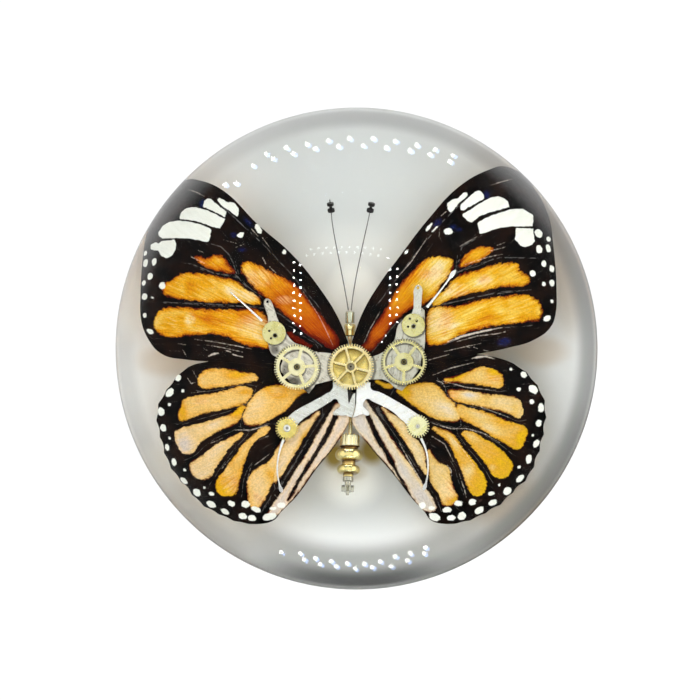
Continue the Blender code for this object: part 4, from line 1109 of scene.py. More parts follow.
# %% Marks of the left forewing
MARKS = {}
MARKS["forewing_left"] = {
    "cells": [
        (0.08, 0.56, [(-15.8, 11.6), (-15, 11.9), (-14.1, 11.7), (-11.7, 10.5), (-10, 9.65), (-8.4, 8.8),
            (-6.5, 6.4), (-4.1, 3.6), (-2.35, 0.5), (-3, -0.1), (-3.9, 0.1), (-5.2, 1), (-6.9, 2),
            (-8.4, 3.35), (-11, 5.7), (-13.9, 8.1), (-15, 9.4), (-15.9, 11)]),
        (0.5, 0.45, [(-22.3, 12.7), (-20.8, 12.5), (-19.5, 12.9), (-18.2, 12.6), (-17.6, 11.8),
            (-16.7, 10.2), (-17.8, 10.3), (-19.1, 10.6), (-21.5, 11.6)]),
        (0.66, 0.54, [(-25.6, 9.65), (-24.3, 10.4), (-21.7, 10.4), (-20, 10.15), (-17.8, 9.65),
            (-16.3, 9.25), (-15.4, 8.35), (-13, 6.1), (-13.9, 5.95), (-16, 6.15), (-20, 6.3), (-23.2, 6.6),
            (-25.6, 7), (-26.9, 7.6), (-27.3, 8.4), (-26.7, 9.2)]),
        (0.5, 0.58, [(-28.4, 3.8), (-27.8, 5), (-26.9, 5.6), (-24.3, 5.75), (-20, 5.4), (-16.7, 5.35),
            (-13.9, 5.5), (-12.8, 4.9), (-12.1, 4), (-11.9, 0.1), (-13.4, 0.1), (-15.6, 0.6), (-17.8, 1.6),
            (-20.8, 1.9), (-24.3, 1.6), (-26.5, 1.6), (-27.8, 2.3), (-28.4, 3.1)]),
        (0.02, 0.1, [(-9.3, 2.2), (-8, 1.6), (-6.5, 0.7), (-6, 0.3), (-7.5, 0.5), (-9, 1.4)]),
    ],
    "patches": [
        (-14.7, 10, 1.7, 1.3, -45, 0.3), (-12.9, 8.2, 1.6, 0.7, -45, 0.14),
        (-10.5, 6.7, 1.2, 0.9, -45, -0.08), (-24, 8.5, 0.5, 0.9, 0, 0.18), (-21.4, 8.6, 1.6, 0.9, 0, -0.03),
        (-17.3, 7.9, 1.1, 0.7, -30, 0.36), (-14.9, 7.1, 1.3, 0.6, -50, 0.2),
        (-28.2, 3.8, 0.6, 1.1, 0, 0.24), (-26, 3.4, 1.4, 1.2, 0, 0.03), (-23.1, 3.8, 0.55, 0.8, 0, 0.38),
        (-22.9, 4.1, 0.2, 0.2, 0, -0.5), (-19.2, 4, 2.2, 0.8, 0, -0.13), (-20.6, 2.6, 2.2, 0.4, 0, 0.15),
        (-14.6, 3.1, 1.9, 0.5, -20, 0.34), (-13.7, 1.7, 1.8, 0.5, -25, 0.3),
        (-16, 2.3, 1.5, 0.3, -25, 0.24), (-13, 0.6, 0.9, 0.4, -20, 0.12), (-24.9, 5, 1.2, 0.4, 0, 0.06),
        (-19, 11.9, 0.9, 0.4, -30, 0.12),
    ],
    "whites": [
        [(-29, 16.8), (-28.3, 17.9), (-26.9, 18.3), (-25.2, 18.2), (-23.65, 17.9), (-21.7, 17.3),
         (-20.5, 16.7), (-20.15, 16.5), (-20.2, 15.5), (-20.5, 14.7), (-21.1, 14.8), (-22.1, 15.1),
         (-23.65, 15.4), (-25.2, 15.55), (-27.6, 15.75), (-28.4, 16.1)],
        [(-25.3, 18.8), (-25.1, 19.65), (-24.3, 20.1), (-23.2, 20.1), (-22.1, 19.75), (-20.8, 19.3),
         (-19.5, 18.65), (-18.2, 17.9), (-18.55, 17.15), (-18.9, 16.6), (-20, 16.9), (-21.3, 17.4),
         (-22.8, 17.95), (-24.3, 18.3), (-25.2, 18.4)],
        [(-21.65, 20.15), (-21.5, 20.85), (-21.05, 21.2), (-20.5, 21.05), (-19.95, 20.5), (-18.9, 19.65),
         (-18, 19), (-18.2, 18.2), (-19.1, 18.72), (-20.2, 19.28), (-21.15, 19.75), (-21.7, 19.95)],
        [(-19.5, 20.9), (-19.2, 21.15), (-18, 20.4), (-16.9, 20.2), (-16.3, 19.4), (-16.25, 18.8),
         (-16.4, 18.15), (-17.45, 18.95), (-18.4, 19.65), (-19.2, 20.35)],
        [(-28, 15.4), (-25.6, 15.35), (-25.35, 14.65), (-25.4, 13.8), (-26, 12.95), (-26.8, 12.7),
         (-27.7, 13.1), (-28.3, 14), (-29.1, 14.1), (-29.95, 14.4), (-30.05, 15.1), (-29.3, 15.45),
         (-28.4, 15.1)],
        [(-13.9, 17.05), (-13.55, 17.05), (-12.9, 16.2), (-13.05, 15.75), (-13.5, 15.85), (-14, 16.6)],
        [(-16.5, 15.5), (-16, 15.95), (-15.5, 16), (-15.5, 15.5), (-15.7, 15.2), (-16.1, 15.25)],
    ],
    "spots": [
        (-9.85, 13.2, 0.26, 0.34, 0), (-31, 14, 0.4), (-30.6, 12.4, 0.5, 0.6, 0),
        (-28.9, 12.4, 0.45, 0.55, 0), (-29.4, 10.3, 0.5), (-30.5, 9.4, 0.4), (-27.2, 8.8, 0.5),
        (-30.2, 7.4, 0.5), (-28.8, 7.2, 0.3, 0.15, 0), (-30, 4.7, 0.35), (-29, 2.4, 0.6, 0.35, -20),
    ],
    "veins": [
        [(-16.3, 9.9), (-16.9, 11.8), (-17.5, 12.9), (-18.65, 14), (-20.2, 14.5)],
        [(-16.3, 9.9), (-14.7, 8.1), (-13.4, 6.6), (-12.3, 5.5), (-10.4, 4.65), (-8, 2.9), (-4.7, 0.3)],
        [(-16.3, 9.9), (-19.5, 10.3), (-22.6, 11.6), (-24.5, 12)],
        [(-12.6, 5.5), (-15.6, 5.75), (-20, 6.1), (-24.3, 6.3), (-27.3, 6.4)],
        [(-4.9, 5.4), (-8.6, 9.8), (-12.5, 14), (-15.6, 16.9), (-18.8, 19.9)],
    ],
    "hairs_and_glints": [
        [(-20.2, -1.05, 0.14), (-19.6, -0.75, 0.17), (-18.9, -0.65, 0.12)], [(-16.9, -0.8, 0.12),
        (-16.2, -1, 0.1), (-15.5, -1.15, 0.08)], [(-17.8, -0.3, 0.09), (-17.1, -0.5, 0.09)],
        [(-24.6, 0.65, 0.07), (-23.5, 0.5, 0.06)], [(-23.9, -0.2, 0.07), (-23.6, -0.7, 0.08),
        (-23.4, -1.1, 0.06)], [(-22.4, 1.3, 0.05), (-19.4, 0.9, 0.08), (-16.6, 0.4, 0.08),
        (-14.2, -0.1, 0.05)], [(-20.6, 0.5, 0.05), (-18.2, 0.1, 0.07), (-15.5, -0.5, 0.05)],
        [(-3.2, 0.4, 0.05), (-4.1, 2.4, 0.07), (-5.2, 4.6, 0.06), (-7.4, 8, 0.05)], [(-21.9, 13.6, 0.07),
        (-21, 13.2, 0.06)], [(-22.9, 12.7, 0.08), (-21.5, 12, 0.09), (-20.6, 11.6, 0.06)],
        [(-14.4, 16.4, 0.08), (-13.5, 15.4, 0.06)], [(-12.9, 15.2, 0.05), (-12, 14, 0.05)],
        [(-24.8, 23.4, 0.06), (-23, 22.5, 0.1), (-21.6, 21.6, 0.06)], [(-16.6, 13.9, 0.06),
        (-15.4, 14.3, 0.06)], [(-18.4, 15, 0.05), (-16.4, 14.4, 0.05)], [(-12.8, 12.4, 0.09),
        (-12.4, 11.6, 0.09)], [(-11.9, 11.2, 0.05), (-11, 10.3, 0.06)], [(-21, 0, 0.05),
        (-20.4, -0.3, 0.05)],
    ],
    "tints": [
        (-21.8, 20.5, 0.5, 0.7, 0), (-14.9, 17.4, 0.9, 0.35, -45), (-16.9, 15.6, 0.5, 0.4, 0),
        (-15.7, 13.5, 0.6, 0.3, 0), (-20.3, 20.3, 0.2, 0.2, 0),
    ],
}

# %% Marks of the right forewing
MARKS["forewing_right"] = {
    "cells": [
        (0.12, 0.62, [(0.6, 0.1), (1.3, 1), (1.9, 2.3), (4.1, 5.7), (6, 8.8), (7.1, 10.1), (8.4, 11.4),
            (9.7, 12.4), (11, 12.6), (12.8, 12.4), (13.2, 12.1), (13, 10.5), (11.9, 9), (10.2, 6.8),
            (9.3, 6), (7.8, 5.5), (5.2, 3.6), (4.1, 2), (3, 0.7), (1.9, -0.35)]),
        (0.54, 0.5, [(14, 11), (14.5, 12.3), (15.2, 13.1), (16.3, 13.8), (17.6, 14), (18.9, 13.6),
            (18.2, 12.9), (17.1, 12), (15.4, 11.4)]),
        (0.64, 0.6, [(11.9, 7.9), (13.2, 9.4), (14.1, 10.1), (16.5, 10.8), (18.65, 11.5), (20.8, 11.8),
            (22.3, 11.7), (22.6, 10.7), (23.65, 10.2), (24.1, 9.4), (23.65, 8.8), (21.9, 8.5), (19.7, 8.35),
            (17.6, 7.9), (15, 7.3), (12.8, 6.6), (10.2, 6.1)]),
        (0.52, 0.63, [(9.6, 4.65), (10.2, 5.5), (13.2, 5.8), (17.6, 6.8), (21.9, 7.4), (23.65, 7.4),
            (24.7, 6.95), (25.5, 6.4), (25.8, 5.5), (25.4, 4), (23.65, 3.6), (18.9, 3.1), (16.5, 2.5),
            (14.5, 2), (13.2, 1.4), (12.3, 0.7), (11, 0.5), (9.7, 0.5), (9.5, 2.9)]),
    ],
    "patches": [
        (10.7, 10.3, 2.6, 1.4, 52, 0.42), (8.2, 8.2, 1.4, 0.5, 55, 0.16), (5.6, 6.4, 1.3, 0.5, 55, 0.08),
        (12.6, 7.9, 1, 0.8, 30, 0.26), (16.9, 9.2, 1, 0.6, 15, 0.36), (18.4, 9.4, 0.7, 0.9, 15, 0.18),
        (21, 10.3, 1.4, 0.8, 0, 0.02), (13.9, 8.9, 1.2, 0.4, 25, -0.1), (15, 7.7, 1.5, 0.25, 12, -0.16),
        (11.6, 3.6, 2.2, 1.9, 20, 0.32), (12, 2.2, 0.5, 0.8, 0, -0.3), (10.7, 3, 0.9, 0.4, 25, 0.12),
        (13.6, 3.2, 1.6, 0.35, 22, 0.3), (12.3, 1.5, 1.4, 0.3, 22, 0.26), (15.6, 4.9, 1.6, 0.5, 12, 0.2),
        (10.9, 1.4, 0.8, 0.5, 25, -0.1), (17.9, 4.2, 1.6, 0.35, 10, -0.12), (19.6, 5.6, 0.8, 0.9, 0, 0.14),
        (21.5, 4.7, 1.4, 0.8, 8, 0.03), (25.3, 5.4, 0.5, 0.9, 0, 0.18), (16.3, 12.7, 0.9, 0.4, 20, 0.1),
    ],
    "whites": [
        [(16.95, 15.75), (16.85, 16.5), (16.65, 17.3), (17.55, 17.9), (18.85, 18.5), (20.4, 19.1),
         (21.9, 19.6), (23.65, 19.9), (25.3, 19.1), (25.2, 18.45), (24.95, 17.35), (23.85, 17.15),
         (21.9, 17.05), (20.2, 16.8), (18.85, 16.4), (17.8, 15.95)],
        [(14.6, 18.25), (15.4, 17.5), (15.85, 17.35), (16.9, 18.2), (18.2, 18.78), (19.75, 19.3),
         (21.6, 19.95), (21.35, 20.75), (20.85, 21.15), (19.95, 21.45), (18.85, 21.15), (17.55, 20.4),
         (16.25, 19.55), (15.2, 18.85), (14.6, 18.5)],
        [(14.4, 19.1), (14.7, 19), (15.4, 19.45), (16.5, 20.1), (17.8, 20.9), (17.75, 21.5), (17.25, 22.1),
         (16.7, 22), (15.85, 21.3), (15.1, 20.5), (14.5, 20), (14.3, 19.55)],
        [(12.5, 19.2), (12.9, 18.7), (13.4, 19.05), (14, 19.95), (15.35, 21.15), (15.4, 21.4),
         (15.25, 21.75), (14.75, 21.5), (14, 20.75), (13.5, 20.65), (13, 20.4), (12.5, 20)],
        [(10.3, 17.2), (10.45, 17.1), (10.05, 16.4), (9.55, 15.95), (9.4, 16.1), (9.75, 16.75)],
        [(22.25, 16.8), (24.95, 16.95), (24.95, 15.95), (25.05, 15.1), (24.5, 14.45), (23.35, 14.1),
         (22.8, 14.3), (22.35, 14.85), (22, 15.1)],
    ],
    "spots": [
        (25.8, 16.3, 0.65), (12.55, 16.05, 0.6, 0.45, 0), (6.8, 13.2, 0.2, 0.36, -40), (27.45, 15.6, 0.4),
        (27.2, 14.2, 0.4, 0.6, 0), (25.65, 13.95, 0.5, 0.6, 0), (26.25, 11.9, 0.38, 0.48, 0),
        (27.5, 11.2, 0.4, 0.5, 0), (24.4, 10.4, 0.45), (27.4, 9.2, 0.4, 0.5, 0), (26.1, 9, 0.3),
        (27.3, 6.6, 0.25), (26.5, 4.2, 0.62, 0.38, 20),
    ],
    "streaks": [
        [(10.35, 15.95, 0.1), (11, 16.7, 0.12)],
    ],
    "veins": [
        [(13.2, 10.1), (14.1, 12.3), (14.4, 13.9), (17.1, 15.5)],
        [(13.2, 10.1), (15.4, 11.2), (19.7, 12.5), (25, 12.6)],
        [(9.7, 5.85), (13.2, 6.3), (17.6, 7.3), (23.65, 8.1)],
        [(9.7, 5.85), (11.7, 8.3), (13.2, 10.1)],
        [(11.9, 0.5), (15.4, 2), (19.7, 2.8), (24.4, 3.2)],
        [(3, 6.2), (6, 10.2), (8.6, 13.6), (11.4, 17), (14, 19.6)],
        [(2.2, -0.4), (5.5, 3.6), (9.7, 5.85)],
    ],
    "hairs_and_glints": [
        [(12.4, 0.9, 0.1), (14.5, 1.7, 0.18), (17, 2.3, 0.16), (20, 2.9, 0.08)], [(13.6, 0.9, 0.06),
        (16.4, 1.7, 0.08), (19.8, 2.1, 0.06)], [(18.6, 1.9, 0.08), (20.4, 2.3, 0.07)], [(14.9, 0.3, 0.07),
        (15.4, 0.15, 0.07)], [(16, 0.2, 0.07), (16.5, 0, 0.06)], [(17.3, -0.2, 0.07), (18, -0.4, 0.06)],
        [(12, -0.4, 0.05), (14.6, 0.2, 0.06), (17, 0.7, 0.05)], [(11.4, 16.6, 0.05), (11.3, 15.3, 0.07),
        (11.8, 14.5, 0.05)], [(12.4, 18.9, 0.07), (11.6, 18.2, 0.07)], [(5.6, 9.7, 0.06), (7.5, 11.9, 0.08),
        (9.7, 15.2, 0.05)], [(1, 0.8, 0.05), (1.8, 2.6, 0.07), (3.2, 5, 0.05)], [(18.9, 23, 0.06),
        (21, 24, 0.1), (23, 24.9, 0.06)], [(14.2, 14, 0.08), (16.6, 15.4, 0.06)], [(19.4, 14.2, 0.07),
        (20.6, 14.7, 0.06)], [(18.4, 13.4, 0.08), (20.6, 14, 0.06)], [(14.9, 11.5, 0.06),
        (18.2, 12.6, 0.08), (20.2, 13, 0.05)], [(9.7, -1.6, 0.05), (12.6, -0.8, 0.05)],
    ],
    "tints": [
        (11.1, 17.2, 0.5, 0.8, -40), (13.2, 16.6, 0.6, 0.4, 20), (18.2, 21.5, 0.5, 0.7, 0),
        (20.2, 0.9, 1, 0.6, 10), (14, 16.3, 0.5, 0.3, 0),
    ],
}

# %% [markdown]
# ## Marks of the hindwings
#
# The hindwings are paler. Their cells fan out from one long middle cell, and two dark stripes run down
# the inner field beside the body. The small dark swelling on the third vein is the scent pouch, which
# only the males have.

# %% Marks of the left hindwing
MARKS["hindwing_left"] = {
    "cells": [
        (0.3, 0.55, [(-15.4, -10), (-15.1, -8), (-14.6, -7.2), (-13.5, -5.9), (-12.1, -5.1), (-9.2, -4.9),
            (-6.5, -5.7), (-7.5, -6.3), (-8.3, -7), (-10, -8.8), (-11.25, -9.5), (-12.9, -10.3),
            (-15, -10.5)]),
        (0.45, 0.35, [(-21.7, -4.7), (-21.5, -3.6), (-20.8, -2.9), (-19.6, -2.7), (-17.1, -2.8),
            (-15.4, -3.2), (-13.3, -4), (-14.6, -4.6), (-17.1, -5.1), (-19.6, -5.4), (-21, -5.5)]),
        (0.45, 0.45, [(-24.4, -10), (-24.2, -7.8), (-23.75, -7), (-21.7, -6.4), (-19.2, -6), (-14.2, -5.5),
            (-14.1, -6), (-14.4, -6.75), (-15.4, -7.6), (-17.5, -8.2), (-20, -8.7), (-22.1, -9.35),
            (-23.75, -10)]),
        (0.4, 0.7, [(-25.2, -11.5), (-24.6, -11.1), (-22.1, -10.4), (-19.6, -9.7), (-17.1, -8.8),
            (-15, -7.8), (-15.4, -8.6), (-16, -9.9), (-17.1, -10.7), (-18.75, -11.3), (-20.4, -12.2),
            (-21.7, -13.2), (-22.7, -14.5), (-24, -14.7), (-24.8, -13.8)]),
        (0.45, 0.7, [(-23.3, -16.1), (-22.7, -15.5), (-21, -14.5), (-19.6, -13.4), (-17.1, -12),
            (-15.4, -11.5), (-15.6, -12), (-16.7, -13), (-17.7, -14), (-18.5, -15.3), (-19.4, -16.5),
            (-20, -17.6), (-21.25, -18.3), (-22.5, -18), (-23.2, -17.2)]),
        (0.5, 0.2, [(-19.6, -19), (-19.2, -18), (-17.9, -16.3), (-16.7, -14.7), (-15.4, -13),
            (-14.6, -12.2), (-11.7, -10.7), (-12.1, -11.5), (-13.75, -12.6), (-14.6, -13.8), (-15.2, -15.5),
            (-15.6, -16.75), (-16, -18.2), (-16.5, -19.9), (-17.9, -20.5), (-19.2, -20.1)]),
        (0.6, 0.45, [(-15, -20.5), (-15.1, -18.8), (-14.8, -17.6), (-14.2, -16.75), (-12.9, -15.9),
            (-11.7, -15.1), (-10.8, -13.4), (-10, -12.6), (-10.8, -15.9), (-11.25, -18), (-12.1, -19.7),
            (-13.1, -21.75), (-14.2, -22.2), (-14.8, -21.5)]),
        (0.7, 0.7, [(-8, -10.5), (-6.5, -9.5), (-5, -8.5), (-5.6, -9.8), (-7, -12), (-8.5, -14.8),
            (-10.2, -17.5), (-10.9, -18.6), (-10.7, -15), (-9.8, -12.6)]),
        (0.9, 0.95, [(-3.2, -7.4), (-5, -10.7), (-6.9, -13.8), (-8.8, -16.9), (-10.2, -19), (-11.6, -21),
            (-12.4, -22.6), (-11, -23), (-10.2, -22.2), (-8.1, -19.9), (-5.4, -16.1), (-2.9, -13),
            (-1.1, -10.2), (-1.1, -8)]),
    ],
    "dark_stripes": [
        [(-3, -6.6, 0.5), (-3.8, -8, 0.5), (-5.4, -10.7, 0.55), (-7.3, -13.8, 0.6), (-9.2, -16.9, 0.6),
         (-10.6, -19, 0.6), (-12, -21, 0.6), (-13.1, -22.7, 0.6)],
        [(-2.9, -9.3, 0.35), (-3.9, -11.5, 0.32), (-5.7, -14.6, 0.26), (-7.6, -17.5, 0.2),
         (-8.6, -19.4, 0.17), (-9.3, -20.7, 0.14)],
    ],
    "pouch": (-12.5, -13.9, 1.7, 1, 52),
    "patches": [
        (-11, -5.6, 1.3, 0.9, -20, -0.5), (-13.6, -8.4, 1.5, 1, 30, 0.12), (-16.4, -3.6, 1.4, 0.5, 0, -0.3),
        (-20.8, -4.3, 0.8, 0.8, 0, 0.1), (-15.2, -5.9, 1, 0.4, 0, -0.3), (-23.9, -8.9, 0.6, 1.2, 0, -0.35),
        (-21, -7.4, 1.6, 0.5, 15, 0.12), (-16.2, -8.6, 0.9, 0.6, 40, -0.5),
        (-21.2, -11.8, 1.5, 0.7, 25, -0.05), (-23.8, -13.4, 1, 1.1, 0, 0.25),
        (-19.4, -10.4, 1.6, 0.5, 25, 0.2), (-21.3, -17, 1.3, 1, 30, 0.05),
        (-18.6, -13.2, 1.5, 0.5, 40, 0.15), (-18, -19.2, 1, 0.9, 50, -0.5),
        (-18, -16.5, 0.8, 0.8, 40, 0.25), (-15.9, -15, 1.4, 0.5, 60, 0.12), (-13.6, -20.6, 0.7, 1, 0, 0.2),
        (-11.8, -17.2, 0.7, 1.5, 20, -0.25), (-7.2, -12.2, 1.6, 0.5, 60, -0.3),
        (-8.6, -15.6, 4.5, 0.7, 57, -0.22),
    ],
    "hairs_and_glints": [
        [(-22.4, -3, 0.07), (-21.9, -3.9, 0.07)], [(-23.2, -4, 0.06), (-22.6, -4.8, 0.08),
        (-22, -4.6, 0.06)], [(-24.2, -2.6, 0.05), (-22.6, -2, 0.07), (-20.4, -1.6, 0.05)],
        [(-22.6, -6.1, 0.05), (-20.6, -5.8, 0.06)], [(-16.6, -11.1, 0.07), (-14.4, -11.1, 0.09),
        (-12, -10.4, 0.07)], [(-20, -13, 0.07), (-18.2, -12.2, 0.06)], [(-13.9, -15.9, 0.06),
        (-12.9, -15.2, 0.08), (-11.9, -14.4, 0.05)], [(-13.2, -12.4, 0.05), (-12, -11.9, 0.07)],
        [(-16.9, -14.6, 0.05), (-18.6, -16.6, 0.07)], [(-14.3, -15.6, 0.06), (-15, -18.4, 0.08)],
        [(-11.2, -20, 0.07), (-10.4, -20.9, 0.12), (-9.6, -20.4, 0.08)], [(-8, -13.6, 0.06),
        (-9, -15.2, 0.06)],
    ],
    "spots": [
        (-24.5, -4, 0.5, 0.4, 60), (-25.8, -6.1, 0.75, 0.45, 50), (-27.2, -8.8, 0.5, 0.6, 0),
        (-27, -11.1, 0.5), (-26.6, -13.9, 0.35, 0.5, 0), (-25.7, -16, 0.4, 0.6, 0),
        (-24.4, -18.7, 0.65, 0.4, -35), (-22.5, -20.3, 0.6), (-20.4, -21.9, 0.7, 0.5, -15),
        (-18.4, -22.8, 0.65, 0.4, -30), (-15.8, -23.3, 0.6, 0.5, 0), (-14.5, -23.5, 0.6, 0.45, 0),
        (-12, -23.2, 1, 0.5, 15), (-23.85, -5.85, 0.25), (-25.9, -7.75, 0.25), (-26.1, -12.5, 0.2),
        (-24.1, -17, 0.25), (-21.2, -19.4, 0.2), (-20.2, -20.25, 0.4, 0.3, 0),
        (-17.35, -21.5, 0.55, 0.4, -20), (-15.3, -21.5, 0.6, 0.5, 0), (-13.85, -22.2, 0.7, 0.4, -20),
        (-11.5, -22, 0.5, 0.25, 0), (-10.3, -21.5, 0.6, 0.4, 0),
    ],
}

# %% Marks of the right hindwing
MARKS["hindwing_right"] = {
    "cells": [
        (0.2, 0.45, [(5.3, -5.6), (6.3, -5.2), (8.8, -4.6), (10.5, -4.7), (11.75, -5.7), (12.4, -6.5),
            (13.2, -7.2), (13.8, -8.2), (14.1, -9.7), (12.6, -10), (10.9, -9.6), (8.8, -8.6), (7.2, -7.4),
            (6.1, -6.5)]),
        (0.4, 0.35, [(11.75, -4.25), (13, -3.8), (14.7, -3.3), (16.3, -2.6), (17.6, -2.5), (18.8, -2.8),
            (19.9, -3.5), (20.1, -4.7), (19.9, -5.3), (18, -5.2), (15.9, -4.9), (13.8, -4.7)]),
        (0.35, 0.55, [(12.4, -5.7), (13.4, -5.5), (15.9, -5.8), (18.4, -6.2), (20.5, -6.4), (22, -6.75),
            (22.6, -7.4), (22.5, -9.5), (20.9, -9), (18.8, -8.4), (14.7, -7.5), (13.4, -7.2),
            (12.6, -6.5)]),
        (0.35, 0.2, [(13.6, -7.6), (15.1, -8), (17.6, -8.6), (19.7, -9.35), (21.3, -10.1), (23, -10.6),
            (23.6, -11.3), (23.4, -12.6), (22.9, -13.6), (22, -14), (20.5, -13.2), (18.8, -12.2),
            (16.75, -10.9), (15.1, -10.1), (14.25, -9.7)]),
        (0.3, 0.08, [(14.25, -11.5), (15.9, -11.4), (17.6, -12.4), (18.8, -13), (20.1, -14), (21.1, -15.1),
            (21.75, -16.1), (21.3, -17.4), (20.5, -18), (19, -17.7), (18, -16.3), (16.75, -14.7),
            (15.5, -13.2), (14.7, -12.2)]),
        (0.4, 0.08, [(10.3, -10.7), (11.5, -10.9), (12.8, -11.3), (13.8, -12.4), (14.7, -13.8),
            (15.9, -15.1), (16.75, -16.3), (17.8, -17.8), (18, -19), (17.2, -20.3), (15.9, -20.1),
            (15.1, -18.8), (14.5, -17.2), (13.8, -15.5), (13, -13.8), (12.2, -12.6), (10.9, -11.5)]),
        (0.55, 0.45, [(9.7, -13.6), (10.5, -14.5), (11.3, -15.5), (12.6, -16.3), (13, -17.8), (13.4, -19),
            (14, -20.5), (14, -20.9), (12.6, -21.75), (11.75, -21.5), (11.3, -20.1), (10.3, -18.8),
            (9.9, -17.6), (9.7, -15.9)]),
        (0.7, 0.65, [(3.2, -8), (4.9, -8.8), (6.75, -10.3), (7.2, -11.5), (8.4, -12.6), (9.25, -13.8),
            (9.5, -15.9), (9.7, -17.2), (9, -16.75), (8, -15.1), (7, -13.4), (5.7, -11.5), (4.5, -9.9)]),
        (0.9, 0.95, [(1.7, -7), (3.65, -10.3), (5.85, -13.6), (7.8, -16.4), (9.2, -18.6), (10.5, -20.6),
            (10.9, -22.2), (9.6, -22.4), (7.6, -20.3), (5.1, -17), (2.2, -13.6), (-0.5, -10.2),
            (-0.5, -8)]),
        (0.15, 0.3, [(2.5, -4.3), (3.8, -4.6), (5.1, -5), (4.6, -5.5), (3.2, -5)]),
    ],
    "dark_stripes": [
        [(1.3, -6, 0.5), (2.3, -7.6, 0.5), (4.15, -10.3, 0.48), (6.4, -13.6, 0.46), (8.3, -16.4, 0.44),
         (9.75, -18.6, 0.42), (11, -20.6, 0.4), (11.6, -22.3, 0.4)],
        [(1.6, -9.3, 0.35), (2.8, -12, 0.32), (4.3, -14.5, 0.26), (5.6, -17, 0.2), (6.7, -19, 0.17),
         (7.6, -20.7, 0.14)],
    ],
    "pouch": (11.1, -13.6, 2, 1, -50),
    "patches": [
        (8.4, -6.3, 1.8, 1, -30, 0.12), (12.6, -8.6, 1.4, 0.8, -50, 0.3), (6.9, -6, 0.8, 0.5, -30, -0.3),
        (13.6, -3.9, 1.2, 0.4, 15, -0.3), (16.8, -3.7, 0.8, 0.8, 30, 0.1), (18.6, -3.4, 0.8, 0.7, 0, -0.4),
        (15.3, -6.3, 1.4, 0.5, -8, 0.5), (19.3, -7.3, 1.6, 0.7, -8, 0.12), (21.8, -8.6, 0.6, 1, 0, -0.2),
        (16.6, -8.9, 1.8, 0.5, -20, 0.2), (20.8, -11.6, 1.8, 1, -25, 0.05),
        (22.8, -12.4, 0.7, 0.9, 0, -0.5), (15.6, -11.9, 1, 0.4, -35, 0.2),
        (18.2, -10.8, 1.6, 0.6, -25, 0.35), (11.3, -7.6, 1.5, 1.2, -40, 0.15),
        (14.7, -17.5, 0.8, 1.6, 25, 0.3), (19.5, -15.6, 1.6, 1.1, -50, 0), (18.6, -16.4, 0.6, 0.5, 0, 0.3),
        (13.2, -12.7, 1.2, 0.4, -55, 0.3), (16.9, -18.4, 0.9, 1.3, 30, 0), (15.5, -16.6, 0.6, 0.8, 0, 0.3),
        (12.2, -19.4, 1, 1.2, 20, 0.1), (13.2, -20.8, 0.9, 0.4, 20, -0.35),
        (6.2, -12, 1.6, 0.5, -60, -0.25), (7.4, -15.9, 4.5, 0.7, -57, -0.25),
    ],
    "hairs_and_glints": [
        [(15.7, -1.35, 0.1), (16.6, -1.15, 0.2), (17.6, -1.05, 0.14), (18.8, -1.4, 0.1)],
        [(10.4, -3.6, 0.05), (13, -2.6, 0.09), (16, -1.9, 0.06)], [(10.9, -4.4, 0.07), (11.6, -4.6, 0.09),
        (12, -5.2, 0.06)], [(11.6, -4.4, 0.05), (15, -5.3, 0.08), (19, -5.7, 0.05)], [(15.4, -7.4, 0.05),
        (18.4, -8.5, 0.07), (20.8, -9.4, 0.05)], [(10.2, -10.1, 0.06), (12.8, -10.9, 0.09),
        (15, -10.9, 0.08)], [(15, -10.9, 0.08), (17.4, -11.6, 0.08), (19.6, -12.9, 0.05)],
        [(12.4, -11.6, 0.06), (14.6, -13.9, 0.07), (16.4, -16.4, 0.06)], [(10.2, -11.9, 0.06),
        (12, -13, 0.09), (13.2, -15.4, 0.06)], [(12.4, -15.9, 0.07), (12.9, -16.6, 0.1), (13, -17.4, 0.06)],
        [(14, -17, 0.06), (14.9, -19.6, 0.08), (15.1, -20.6, 0.05)], [(5.8, -12.8, 0.06), (7.6, -16, 0.1),
        (9.4, -19.2, 0.07)], [(20.9, -2.7, 0.07), (21.5, -2.9, 0.07)], [(23.6, -7.3, 0.05),
        (24.3, -7, 0.08), (24.6, -7.6, 0.05)],
    ],
    "spots": [
        (22.9, -3.6, 0.5, 0.4, -45), (24.3, -5.6, 0.75, 0.5, -40), (25.5, -8.2, 0.45, 0.65, 0),
        (25.2, -10.35, 0.45), (25, -13.2, 0.45, 0.6, -30), (24, -15.4, 0.45, 0.65, 0),
        (22.9, -18.2, 0.65, 0.45, 35), (21.1, -19.9, 0.6), (19, -21.5, 0.65, 0.45, 15),
        (17.1, -22.5, 0.7, 0.5, 30), (14.6, -23.2, 0.6), (13.1, -23.4, 0.6, 0.4, 0),
        (10.75, -23.2, 0.85, 0.5, -25), (21.1, -2.8, 0.2), (22.2, -5.6, 0.3), (24.1, -7.3, 0.35),
        (24.4, -12, 0.2), (22.6, -16.5, 0.25), (19.8, -18.9, 0.2), (18.7, -20.1, 0.5, 0.3, 0),
        (16, -21.2, 0.55, 0.45, 0), (14, -21.3, 0.6, 0.4, 0), (12.5, -22.2, 0.65, 0.4, 0),
        (10.3, -21.9, 0.45, 0.3, 0), (9, -21.5, 0.5, 0.45, 0),
    ],
}

# %% [markdown]
# ## The wing's surface
#
# A wing is a fan: every row of points runs from the root to a point of the margin. The top has a fine
# grid that carries the pattern and the relief of the veins. The underside is coarse, and the two share
# the margin, so the wing is one closed thin skin. It is almost flat, with shallow pleats between its
# veins.

# %% Wing surfaces
def even_steps(loop, count):
    """Moves along an open line of points to evenly spaced places, both ends kept."""
    length = np.concatenate([[0], np.cumsum(np.linalg.norm(np.diff(loop, axis=0), axis=1))])
    place = np.linspace(0, length[-1], count)
    return np.stack([np.interp(place, length, loop[:, k]) for k in range(2)], 1)


